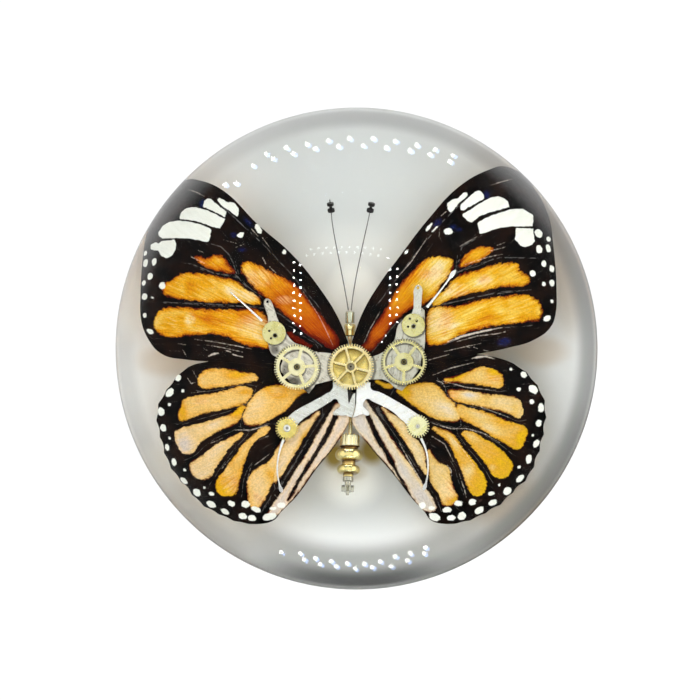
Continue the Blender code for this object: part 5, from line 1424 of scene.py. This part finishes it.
def side_of_line(points, line):
    """Distance to a line, negative on its right: the sign is that of the nearest stretch's cross product."""
    line = np.array(line, float)[:, :2]
    distance = np.full(len(points), REACH)
    near = near_to(points, line)
    p, a, b = points[near], line[:-1], line[1:]
    gap = to_segments(p, a, b)
    nearest = gap.argmin(1)
    along, offset = (b - a)[nearest], p - a[nearest]
    side = np.where(along[:, 0] * offset[:, 1] - along[:, 1] * offset[:, 0] < 0, -1, 1)
    distance[near] = side * gap.min(1)
    return distance


def deepest(depths, count):
    return np.max(depths, axis=0) if depths else np.full(count, -REACH)


def mark_depths(marks, xy, root):
    """All the numbers that the finish reads at each point, in millimetres where they are depths.

    Neighbouring marks go to different layers, so that the thin black gap between them stays sharp: the
    middle cell has a layer of its own, and the others take turns.
    """
    out = np.linalg.norm(xy - root, axis=1)
    depths, tones = [], []
    for near_tone, far_tone, outline in marks["cells"]:
        corners = np.linalg.norm(np.array([p[:2] for p in outline]) - root, axis=1)
        share = np.clip((out - corners.min()) / (corners.max() - corners.min()), 0, 1)
        depths.append(depth_in_loop(xy, outline))
        tones.append(near_tone + (far_tone - near_tone) * share)
    stripes = [-depth_in_stripe(xy, line) for line in marks.get("dark_stripes", [])]
    depths = [np.min([depth, *stripes], axis=0) for depth in depths]
    best = np.argmax(depths, axis=0)[None]
    values = {"tone": np.take_along_axis(np.array(tones), best, 0)[0]}
    for layer in range(4):
        own = [d for i, d in enumerate(depths) if layer == (1 + (i - 1) % 3 if i else 0)]
        values[f"cell_{layer}"] = deepest(own, len(xy))
    whites = [depth_in_loop(xy, outline, smooth=False) for outline in marks.get("whites", [])]
    spots = [depth_in_spot(xy, spot) for spot in marks["spots"]]
    spots += [depth_in_stripe(xy, line) for line in marks.get("streaks", [])]
    for layer in range(2):
        values[f"white_{layer}"] = deepest(whites[layer::2] + spots[layer::2], len(xy))
    lines = [side_of_line(xy, line) for line in marks.get("veins", [])] + [np.full(len(xy), REACH)]
    nearest = np.argmin(np.abs(lines), axis=0)[None]
    values["vein_side"] = np.take_along_axis(np.array(lines), nearest, 0)[0]
    values["vein"] = np.abs(values["vein_side"])
    for x, y, wide, high, turn, shift in marks["patches"]:
        near = 1 - depth_in_spot(xy, (x, y, wide, high, turn)) / min(wide, high)
        values["tone"] = values["tone"] + shift * np.exp(-near**2)
    # Pale hairs together with painted glints and sheen lines on the black.
    values["hair"] = deepest([depth_in_stripe(xy, line) for line in marks["hairs_and_glints"]], len(xy))
    values["tint"] = deepest([depth_in_spot(xy, spot) for spot in marks.get("tints", [])], len(xy))
    values["pouch"] = depth_in_spot(xy, marks["pouch"]) if "pouch" in marks else np.full(len(xy), -REACH)
    return values


UNDERSIDE = {"tone": 0.6, "cell_0": 1.0, "vein": REACH, "vein_side": REACH}
MARGIN_STEPS, NOTCH_START, NOTCH_SHARE, NOTCH_MEAN = 24, 0.3, 0.42, 0.6
PLEAT, WAVE, WAVES, RIDGE, RIDGE_WIDTH, HUMP, HUMP_SLOPE = 0.05, 0.06, 9, 0.035, 0.16, 0.22, 0.6
PLEAT_DEEPEST, PLEAT_FULL, WAVE_FULL = 0.6, 8, 30
TOP_SKIN, UNDER_SKIN, UNDER_TIP, UNDER_POINTS, THIN_POWER, FADE_RATE = 0.07, 0.09, 0.05, 7, 16, 8
RUN_PER_RADIAN = 20


def wing(name, node, outline, root, material, around, outward, points=0, notch=0.0):
    """Point (u, v) = root + v * (margin(u) - root), raised by pleats, veins and the pouch.

    The far margin has as many small points as there are vein ends, with a shallow curve between them.
    """
    low, high = box_mm(node)
    middle = (low[2] + high[2]) / 2
    margin = smooth_loop(outline, MARGIN_STEPS)
    margin = even_steps(margin[:len(margin) - MARGIN_STEPS + 1], around)
    root = np.array(root)
    place = np.clip((np.linspace(0, 1, around) - NOTCH_START) / NOTCH_SHARE, 0, 1)
    wavy = notch * (NOTCH_MEAN - np.abs(np.sin(np.pi * points * place))) * np.sin(np.pi * place) ** 0.3
    margin = margin + wavy[:, None] * (margin - root) / np.linalg.norm(margin - root, axis=1)[:, None]
    fine = np.linspace(0, 1, outward + 1)[1:]
    coarse = np.linspace(0, 1, UNDER_POINTS)[1:-1]
    top = root + fine[:, None, None] * (margin - root)[None]
    under = root + coarse[:, None, None] * (margin - root)[None]
    flat_top = top.reshape(-1, 2)
    values = mark_depths(MARKS[node], flat_top, root)
    reach = np.linalg.norm(flat_top - root, axis=1)
    bearing = np.arctan2(flat_top[:, 1] - root[1], np.abs(flat_top[:, 0] - root[0]))
    share = np.tile(fine[:, None], (1, around)).ravel()
    ordered = np.sort([values[f"cell_{layer}"] for layer in range(4)], axis=0)
    between = np.minimum(values["vein"], ordered[-1] - ordered[-2])
    pleat = np.clip(ordered[-1], -PLEAT_DEEPEST, PLEAT_DEEPEST)
    pleat = PLEAT * pleat * np.minimum(1, reach / PLEAT_FULL)
    wave = WAVE * np.sin(bearing * WAVES) * (reach / WAVE_FULL)**2
    ridge = RIDGE * np.exp(-(between / RIDGE_WIDTH)**2)
    hump = HUMP * np.clip(values["pouch"] / HUMP_SLOPE, 0, 1)**0.5
    skin = TOP_SKIN * np.sqrt(np.clip(1 - share**THIN_POWER, 0, 1))
    fade = np.minimum(1, (1 - share) * FADE_RATE)
    top_z = middle + wave + skin + (pleat + ridge + hump) * fade
    under_share = np.tile(coarse[:, None], (1, around)).ravel()
    under_z = middle + np.interp(under_share, [0, 1], [-UNDER_SKIN, -UNDER_TIP])
    points = np.concatenate([
        np.column_stack([flat_top, top_z]),
        np.column_stack([under.reshape(-1, 2), under_z]),
        [[*root, middle + TOP_SKIN], [*root, middle - UNDER_SKIN]],
    ])
    first_under = len(flat_top)
    top_pole, under_pole = len(points) - 2, len(points) - 1
    j = np.arange(around - 1)
    rim = (outward - 1) * around
    last_under = first_under + (len(coarse) - 1) * around
    under_faces = grid_faces(len(coarse), around, wrap=False)[:, ::-1] + first_under
    edge = np.stack([last_under + j, rim + j, rim + j + 1, last_under + j + 1], 1)
    near = np.stack([np.full(around - 1, top_pole), j, j + 1], 1)
    far = np.stack([first_under + j + 1, first_under + j, np.full(around - 1, under_pole)], 1)
    top_side = np.arange(outward) * around
    under_side = first_under + np.arange(len(coarse)) * around
    cut_end = np.concatenate([
        top_side[::-1], [top_pole], top_side + around - 1,
        under_side[::-1] + around - 1, [under_pole], under_side,
    ])[None]
    faces = [grid_faces(outward, around, wrap=False), under_faces, edge, near, far, cut_end]
    piece = new_piece(name, node, material, points, faces, flat=(5,))
    padding = len(points) - first_under
    for key, value in values.items():
        layer = piece.data.attributes.new(key, "FLOAT", "POINT")
        filled = np.concatenate([value, np.full(padding, UNDERSIDE.get(key, -REACH))])
        layer.data.foreach_set("value", filled.astype(np.float32))
    run = np.zeros((len(points), 3), np.float32)
    run[:first_under, 0], run[:first_under, 1] = reach, bearing * RUN_PER_RADIAN
    piece.data.attributes.new("run", "FLOAT_VECTOR", "POINT").data.foreach_set("vector", run.ravel())
    print(f"{name}: {len(points)} points")
    return piece


# %% [markdown]
# ## Scales
#
# The finish reads the stored depths. Noise is added to a depth before it becomes an edge, so the black
# eats into the orange along the lines of scales, with a dark red fringe between them. Fine noise drawn
# out from the root gives the rows of scales, and pale hairs and painted glints lie here and there on the
# black. Some places are paler. The layers lie in this order: the cell's tone, cream and dark scales, the
# paler places, the fringe, the black with its blue tints, its painted sheen and the painted sheen along
# its veins, pale hairs with painted glints, and white.

# %% Wing finish
def paint(red, green, blue):
    """A colour given as 0 to 255, as a camera stores it, made linear."""
    return tuple((c / 255 / 12.92) if c <= 10 else ((c / 255 + 0.055) / 1.055) ** 2.4
                 for c in (red, green, blue))


def second_highest(a, b, c, d):
    """Of two pairs: the greater of the lesser ones, and of the smaller pair-winner."""
    winners = highest([a, b]).maths("MINIMUM", highest([c, d]))
    return highest([a.maths("MINIMUM", b), c.maths("MINIMUM", d), winners])


FRINGE, VEIN_RED, CREAM = paint(92, 12, 0), paint(128, 52, 0), paint(252, 222, 160)
PALER_ORANGE, PALER_CREAM = paint(218, 128, 62), paint(248, 212, 150)
BLACKS, TINT_BLUE = ((0.0006, 0.0003, 0.0003), (0.012, 0.0035, 0.0012)), paint(8, 30, 90)
# Tones of the painted sheen, the painted sheen along the veins, and the pale hairs with painted glints.
SHEEN_TONE, VEIN_SHEEN_TONE, HAIR_AND_GLINT_TONE = (0.4, 0.34, 0.3), (0.38, 0.36, 0.35), paint(214, 200, 186)
CHALKS = paint(226, 224, 210), paint(250, 250, 243)


def wing_finish(name, tones, ragged, fringe, edge_tone, streaks, paler_places):
    """Scales in the tones given, with edges as ragged as given in millimetres, and paler places."""
    material, tree, inputs = new_material(name, (0.5, 0.5, 0.5), 0.6)
    here, run = place_on(tree), stored(tree, "run", "Vector")
    cells = [stored(tree, f"cell_{layer}") for layer in range(4)]
    cell = highest(cells)
    gap = cell - second_highest(*cells) + soft_step(cell, -1.1, -0.8, 1.0, 0.0)
    side = abs(stored(tree, "vein_side")) + soft_step(stored(tree, "vein"), 0.3, 0.4)
    line = gap.maths("MINIMUM", side)
    chalk_depth = highest([stored(tree, "white_0"), stored(tree, "white_1")])

    rows = noise(run, 1.0, 3.0, stretch=(0.35, 3.4, 1.0))
    fine = noise(run, 1.0, 2.0, stretch=(0.5, 8.0, 1.0))
    fray = noise(run, 1.0, 3.0, stretch=(1.3, 3.2, 1.0))
    specks, clouds = noise(here, 4200.0, 2.0), noise(here, 330.0, 3.0)

    rag = (fray - 0.5) + (specks - 0.5) * 0.45
    edge = rag * ragged + cell
    shade = (rows - 0.5) * streaks + stored(tree, "tone")
    shade = (clouds - 0.5) * 0.45 + shade
    shade = shade + soft_step(edge, 0.0, 0.7, edge_tone, 0.0)
    body = colour_row(shade, tones)
    patchy = soft_step(clouds, 0.42, 0.6, 0.15, 1.0) * soft_step(shade, 0.3, 0.62)
    body = mix(patchy * soft_step(fine, 0.57, 0.72, 0.0, streaks), body, CREAM)
    body = mix(soft_step(fine, 0.42, 0.28, 0.0, 0.7 * streaks), body, VEIN_RED)
    paler_places = soft_spots(here, paler_places)
    body = mix(paler_places * soft_step(clouds, 0.55, 0.4, 0.0, 0.7), body, PALER_ORANGE)
    body = mix(paler_places * soft_step(rows, 0.42, 0.62, 0.1, 0.8), body, PALER_CREAM)
    body = scale(body, soft_step(specks, 0.3, 0.7, 0.77, 0.99))
    body = mix(soft_step((clouds - 0.5) + edge, -0.1, fringe), FRINGE, body)

    black = mix(soft_step(clouds, 0.35, 0.7), *BLACKS)
    tinted = soft_step(stored(tree, "tint"), -0.2, 0.4, 0.0, 0.8) * soft_step(specks, 0.35, 0.65, 0.25, 1.0)
    black = mix(tinted, black, TINT_BLUE)
    sheen = soft_step(rows, 0.6, 0.76, 0.0, 0.16) * soft_step(specks, 0.42, 0.62)
    black = mix(sheen, black, SHEEN_TONE)
    # Painted sheen along the veins on the black.
    drawn = soft_step(line, 0.03, 0.12, 0.24, 0.0) * soft_step(fray, 0.4, 0.58)
    black = mix(drawn, black, VEIN_SHEEN_TONE)
    colour = mix(soft_step(edge, -0.05, 0.09), black, body)
    # Pale hairs and painted glints.
    hair = (specks - 0.5) * 0.22 + stored(tree, "hair")
    colour = mix(soft_step(hair, -0.03, 0.15, 0.0, 0.9), colour, HAIR_AND_GLINT_TONE)
    colour = mix(soft_step(rag * 0.3 + chalk_depth, -0.05, 0.06), colour, mix(rows, *CHALKS))
    put(inputs["Base Color"], colour)
    put(inputs["Roughness"], soft_step(edge, -0.1, 0.1, 0.45, 0.65))
    put(inputs["Normal"], bump(rows + specks * 0.6, 0.03))
    put(inputs["Specular IOR Level"], 0.06)
    return material


FOREWING_TONES = [(0.0, 112, 20, 0), (0.18, 180, 70, 0), (0.36, 212, 116, 6), (0.56, 236, 166, 16),
                  (0.76, 246, 198, 84), (0.95, 250, 222, 172)]
FOREWING_PALER_PLACES = [
    (-14.0, 3.0, 3.4, 1.9, 1.0), (-14.6, 7.2, 2.2, 0.9, 0.8), (-13.6, 9.6, 2.8, 1.7, 0.7),
    (-22.9, 4.0, 1.0, 1.3, 0.8), (-9.8, 6.6, 1.6, 0.8, 0.5), (11.4, 3.4, 2.8, 2.7, 1.0),
    (10.6, 9.8, 2.6, 1.9, 0.9), (13.4, 8.0, 2.6, 1.2, 0.8), (17.6, 9.2, 1.4, 1.2, 0.8),
]
HINDWING_TONES = [(0.0, 238, 180, 20), (0.2, 234, 168, 48), (0.45, 240, 193, 110), (0.68, 242, 208, 156),
                  (0.95, 222, 204, 190)]
HINDWING_PALER_PLACES = [
    (-17.5, -18.5, 1.8, 2.0, 0.6), (-13.2, -20.0, 1.3, 1.8, 0.7), (-10.8, -5.8, 1.6, 1.0, 0.5),
    (-21.5, -7.2, 1.6, 0.7, 0.4), (12.5, -19.4, 1.6, 2.0, 0.9), (6.6, -12.4, 1.6, 2.6, 0.5),
    (18.4, -4.2, 1.6, 1.0, 0.5), (13.0, -6.3, 1.4, 0.8, 0.5),
]
FOREWING_LOOK = (0.8, 0.35, -0.2, 0.55, FOREWING_PALER_PLACES)
HINDWING_LOOK = (0.5, 0.22, -0.15, 0.3, HINDWING_PALER_PLACES)


def scales(name, tones, red, green, look):
    """A wing's finish, with its tones' red and green scaled down where the wing carries painted shade."""
    tones = [(place, paint(red * r, green * g, b)) for place, r, g, b in tones]
    return wing_finish(name, tones, *look)


left_fore_scales = scales("left_fore_scales", FOREWING_TONES, 1.0, 1.0, FOREWING_LOOK)
# The right wings carry painted shade: their red and green are scaled down a little.
shaded_right_fore_scales = scales("shaded_right_fore_scales", FOREWING_TONES, 0.965, 1.0, FOREWING_LOOK)
left_hind_scales = scales("left_hind_scales", HINDWING_TONES, 1.0, 1.0, HINDWING_LOOK)
shaded_right_hind_scales = scales("shaded_right_hind_scales", HINDWING_TONES, 0.95, 0.98, HINDWING_LOOK)

# %% The four wings
FORE_MESH, HIND_MESH = (481, 170), (441, 150, 13, 0.3)
wing("wing_front_left", "forewing_left", FOREWING_LEFT, (-1.15, -1.5), left_fore_scales, *FORE_MESH)
wing("wing_front_right", "forewing_right", FOREWING_RIGHT, (-0.65, -1.5), shaded_right_fore_scales, *FORE_MESH)
wing("wing_rear_left", "hindwing_left", HINDWING_LEFT, (-1.1, -6.0), left_hind_scales, *HIND_MESH)
wing("wing_rear_right", "hindwing_right", HINDWING_RIGHT, (-0.65, -6.0), shaded_right_hind_scales, *HIND_MESH)

# %% [markdown]
# ## Floor
#
# The case stands on a plain white floor. As in a cut-out catalogue picture, the camera sees the floor as
# pure white, while the glass mirrors and bends a greyer table with painted shade, darkest in front of the
# case. A Light Path node tells the two apart, so the floor needs no lamp and throws no noise.

# %% Floor
FLOOR_HALF, FLOOR_DROP = 1.5, 0.0002
floor_mesh = bpy.data.meshes.new("floor")
corners = np.array([(-1, -1, 0), (1, -1, 0), (1, 1, 0), (-1, 1, 0)]) * FLOOR_HALF
floor_mesh.from_pydata(corners.tolist(), [], [(0, 1, 2, 3)])
floor = bpy.data.objects.new("floor", floor_mesh)
floor.location.z = -FLOOR_DROP
bpy.context.scene.collection.objects.link(floor)

CAMERA_WHITE, MATT_WHITE, THROUGH_WHITE = 1.05, 2.0, 0.9
TABLE_BRIGHT, TABLE_SHADE, TABLE_FAR = 0.6, 0.04, 0.03
TABLE_SHADE_SIDE, TABLE_FADE = (0.35, -0.94, 0.0), (0.066, 0.11)

floor_paint = bpy.data.materials.new("floor_paint")
floor_paint.use_nodes = True
tree = floor_paint.node_tree
tree.nodes.clear()
here, path = place_on(tree), light_path(tree)
# Painted shade on the table that the glass shows, darkest in front of the case.
forward = vector("DOT_PRODUCT", vector("NORMALIZE", here), TABLE_SHADE_SIDE, output=1)
table = soft_step(forward, -0.5, 1.0, TABLE_BRIGHT, TABLE_SHADE)
table *= soft_step(from_centre(here, (0.0, 0.0))[1], *TABLE_FADE, 1.0, TABLE_FAR)
on_the_outside = (path["Transmission Depth"] < 0.5) * (path["Glossy Depth"] > 0.5)
table = either(on_the_outside, THROUGH_WHITE, table)
table = either(path["Diffuse Depth"] > 0.5, table, MATT_WHITE)
seen = either(path["Is Camera Ray"], table, CAMERA_WHITE)
glow = add(tree, "ShaderNodeEmission", {"Color": (1.0, 1.0, 1.0), "Strength": seen})
put(tree.nodes.new("ShaderNodeOutputMaterial").inputs[0], glow)
floor_mesh.materials.append(floor_paint)

# %% [markdown]
# ## Light
#
# Light reaches the specimen only through the glass, and a lamp can't be aimed through glass without
# noise, so all of it comes from a smooth sky. That sky is shown in three ways. Matt things are lit by a
# bright one: even overhead, with a soft box in the west, and stronger near the horizon in the south and
# at the two sides. The glass mirrors a dark one, or a grey veil would lie over the black of the wings.
# The metal mirrors one with two long bright panels beside a dim middle, which gives the polished brass
# its sharp contrast. A path that has passed more than two surfaces of glass has come from the specimen,
# and so the sky can tell the metal from the glass.

# %% Sky
BACKDROP, MIRRORED_OUTSIDE, OVERHEAD, SOFT_BOX = 0.95, 0.018, 1.2, 0.9
LOW_SKY, SOFT_BOX_EDGES, TOP_LIGHT = (0.45, 0.2), ((-0.15, -0.3), (-0.7, -0.5)), (0.86, 0.95)
PANEL_EDGES, PANEL_ENDS, FLANK = ((0.3, 0.4), (0.75, 0.65)), (0.75, 0.55), (0.72, 0.82)
WEST_PANEL, EAST_PANEL, DIM_MIDDLE, BRIGHT_FLANK = 1.1, 1.7, 0.15, 0.42
INSIDE_TOP, INSIDE_LOW = (0.76, 0.45, 0.015, 0.5), (0.38, 0.3, 0.0, 0.4)
SOUTHWARD, SIDEWARD, SIDE_START = -2.5, 9.0, 8.0
world = bpy.data.worlds.new("studio")
bpy.context.scene.world = world
world.use_nodes = True
tree = world.node_tree
east, north, up = parts(add(tree, "ShaderNodeTexCoord", {}))
path = light_path(tree)

low = soft_step(up, *LOW_SKY)
sideways = (north * SOUTHWARD + (east * SIDEWARD - SIDE_START) * east).maths("MAXIMUM", 0.0)
box = soft_step(east, *SOFT_BOX_EDGES[0]) * soft_step(east, *SOFT_BOX_EDGES[1])
lit = box * SOFT_BOX + (low * sideways + OVERHEAD)
mirrored_inside = soft_step(up, *INSIDE_TOP) + soft_step(up, *INSIDE_LOW)
mirrored_by_glass = either(path["Transmission Depth"] > 0.5, MIRRORED_OUTSIDE, mirrored_inside)

away = abs(east)
panel = soft_step(away, *PANEL_EDGES[0]) * soft_step(away, *PANEL_EDGES[1])
panel *= soft_step(abs(north), *PANEL_ENDS) * soft_step(east, -0.5, 0.5, WEST_PANEL, EAST_PANEL)
flanks = soft_step(away, *FLANK, DIM_MIDDLE, BRIGHT_FLANK)
mirrored_by_metal = highest([panel, soft_step(up, *TOP_LIGHT)]) + flanks

mirrored = either(path["Transmission Depth"] > 2.5, mirrored_by_glass, mirrored_by_metal)
seen = either(path["Glossy Depth"] > 0.5, BACKDROP, mirrored)
straight = highest([path["Is Camera Ray"], path["Is Glossy Ray"], path["Is Transmission Ray"]])
brightness = either(straight * (path["Diffuse Depth"] < 0.5), lit, seen)
background = tree.nodes["Background"].inputs
put(background["Strength"], brightness)
put(background["Color"], (1.0, 1.0, 1.0))
bpy.context.scene.view_settings.view_transform = "Standard"
bpy.context.scene.cycles.sample_clamp_indirect = 0.0

# %% [markdown]
# ## Rows of lamps
#
# The dome shows rows of bright dots: the mirror images of many small lamps. Some are mirrored by the
# outside of the ball, and those of the two arcs by its flat underside. Each lamp is placed by following
# the camera's ray to its dot, out to a fixed distance. It is an oval, because the ball squeezes what it
# mirrors, and only its mirror image is seen.

# %% Rows of lamps
def bend_ray(ray, normal, ratio):
    """Snell's law: the part of the ray along the surface grows by the ratio of the two indices."""
    along = ray @ normal
    inside = 1 - ratio**2 * (1 - along**2)
    return ratio * ray - (ratio * along + math.sqrt(inside)) * normal


def mirrored_ray(pixel, off_the_flat):
    """Where the camera's ray to a place of the picture leaves the ball, and its direction.

    The ray meets the ball and is mirrored there. Or it bends into the glass, is mirrored by the flat
    floor of the ball, and bends out again: that one comes back on the other side.
    """
    middle = np.array([0.0, 0.0, CEILING])
    offset = np.array([pixel[0] - DOME_PIXEL_CENTRE[0], DOME_PIXEL_CENTRE[1] - pixel[1]])
    offset *= math.tan(edge_angle) / DOME_PIXEL_RADIUS
    ray = np.array([*offset, -1.0]) / math.sqrt(1 + offset @ offset)
    drop = -CAMERA_DISTANCE * ray[2]
    drop -= math.sqrt(drop**2 - CAMERA_DISTANCE**2 + DOME_RADIUS**2)
    spot = middle + [0, 0, CAMERA_DISTANCE] + drop * ray
    normal = (spot - middle) / DOME_RADIUS
    if off_the_flat:
        ray = bend_ray(ray, normal, 1 / GLASS_INDEX)
        spot = spot + ray * (CEILING - spot[2]) / ray[2]
        ray = ray * [1, 1, -1]
        offset = (spot - middle) @ ray
        far = -offset + math.sqrt(offset**2 + DOME_RADIUS**2 - (spot - middle) @ (spot - middle))
        spot = spot + far * ray
        normal = (spot - middle) / DOME_RADIUS
        ray = bend_ray(ray, -normal, GLASS_INDEX)
    else:
        ray = ray - 2 * (ray @ normal) * normal
    return spot, ray


def lamp(pixel, radius, strength, tint, off_the_flat=False):
    """A small oval lamp whose mirror image is a round dot at one place of the picture.

    A step of one pixel to each side gives the lamp plane's steps. Their singular values, times the dot's
    radius, are the oval's half axes, and their left vectors are its directions.
    """
    spot, ray = mirrored_ray(pixel, off_the_flat)
    place = spot + LAMP_DISTANCE * ray
    steps = []
    for shift in ((0.5, 0.0), (0.0, 0.5)):
        ends = []
        for sign in (-1, 1):
            p, d = mirrored_ray((pixel[0] + sign * shift[0], pixel[1] + sign * shift[1]), off_the_flat)
            ends.append(p + d * ((place - p) @ ray) / (d @ ray))
        steps.append(ends[1] - ends[0])
    axes, lengths, _ = np.linalg.svd(np.array(steps).T, full_matrices=False)
    wide, high = np.maximum(2 * radius * lengths, 0.5) * MM
    turn = np.column_stack([axes[:, 0], np.cross(ray, axes[:, 0]), ray])
    data = bpy.data.lights.new("lamp", "AREA")
    data.shape = "ELLIPSE"
    data.size, data.size_y = wide, high
    data.energy = strength * math.pi**2 * wide * high / 4
    data.color = tint
    shine = bpy.data.objects.new("lamp", data)
    shine.location = (place * MM).tolist()
    shine.rotation_euler = Matrix(turn.tolist()).to_euler()
    shine.visible_diffuse = shine.visible_camera = False
    shine.visible_glossy = not off_the_flat
    shine.visible_transmission = off_the_flat
    bpy.context.scene.collection.objects.link(shine)


def row_of_lamps(middle, step, count, curve, **look):
    """Places at even steps along x whose y follows a parabola."""
    for k in range(count):
        x = middle[0] + (k - (count - 1) / 2) * step
        lamp((x, middle[1] + curve * (x - middle[0])**2), **look)


LAMP_DISTANCE = 260.0
COLD, WARM, BLUE = (0.85, 0.94, 1.0), (1.0, 0.98, 0.92), (0.35, 0.5, 1.0)
row_of_lamps((345.8, 247.0), 7.8, 10, 0.002, radius=1.3, strength=4.5, tint=COLD)
row_of_lamps((342.5, 252.3), 8.0, 10, 0.0024, radius=1.3, strength=4.5, tint=COLD)
COLUMNS = (293.8, 262.5, 10, WARM), (300.4, 265, 10, COLD), (390, 270, 8, COLD), (397, 269, 8, WARM)
for x, first, count, tint in COLUMNS:
    for k in range(count):
        lamp((x + 0.5 * math.sin(3 * k), first + 7.6 * k), 1.2, 50.0, tint)
for pixel in ((388, 258), (407, 252), (385.6, 335.6), (382, 342.4)):
    lamp(pixel, 1.1, 40.0, COLD)
UPPER_ARC = [
    (226, 185), (237, 184), (254, 166), (267, 154), (274, 159), (287, 148), (294, 154), (308, 144.5),
    (316, 149), (329, 141), (339.5, 147), (350, 139), (364, 146), (374, 139), (387, 148), (396, 141.5),
    (411, 151), (417.5, 145.5), (431, 155), (436, 150), (454, 156), (451, 162),
]
LOWER_ARC = [
    (282, 553), (301, 554), (305, 560), (316, 559), (321, 564.5), (332, 562), (337, 567), (348, 564),
    (356, 569), (365, 564.5), (373, 568), (381, 562), (392, 567), (396, 557), (408.5, 561), (411, 554),
    (425, 554), (426, 548),
]
for pixel in UPPER_ARC + LOWER_ARC:
    lamp((pixel[0] - 1.0, pixel[1] - 0.6), 2.2, 26.0, WARM, off_the_flat=True)
    lamp((pixel[0] + 1.4, pixel[1] + 1.0), 2.2, 16.0, BLUE, off_the_flat=True)
print(len(bpy.data.lights), "lamps")
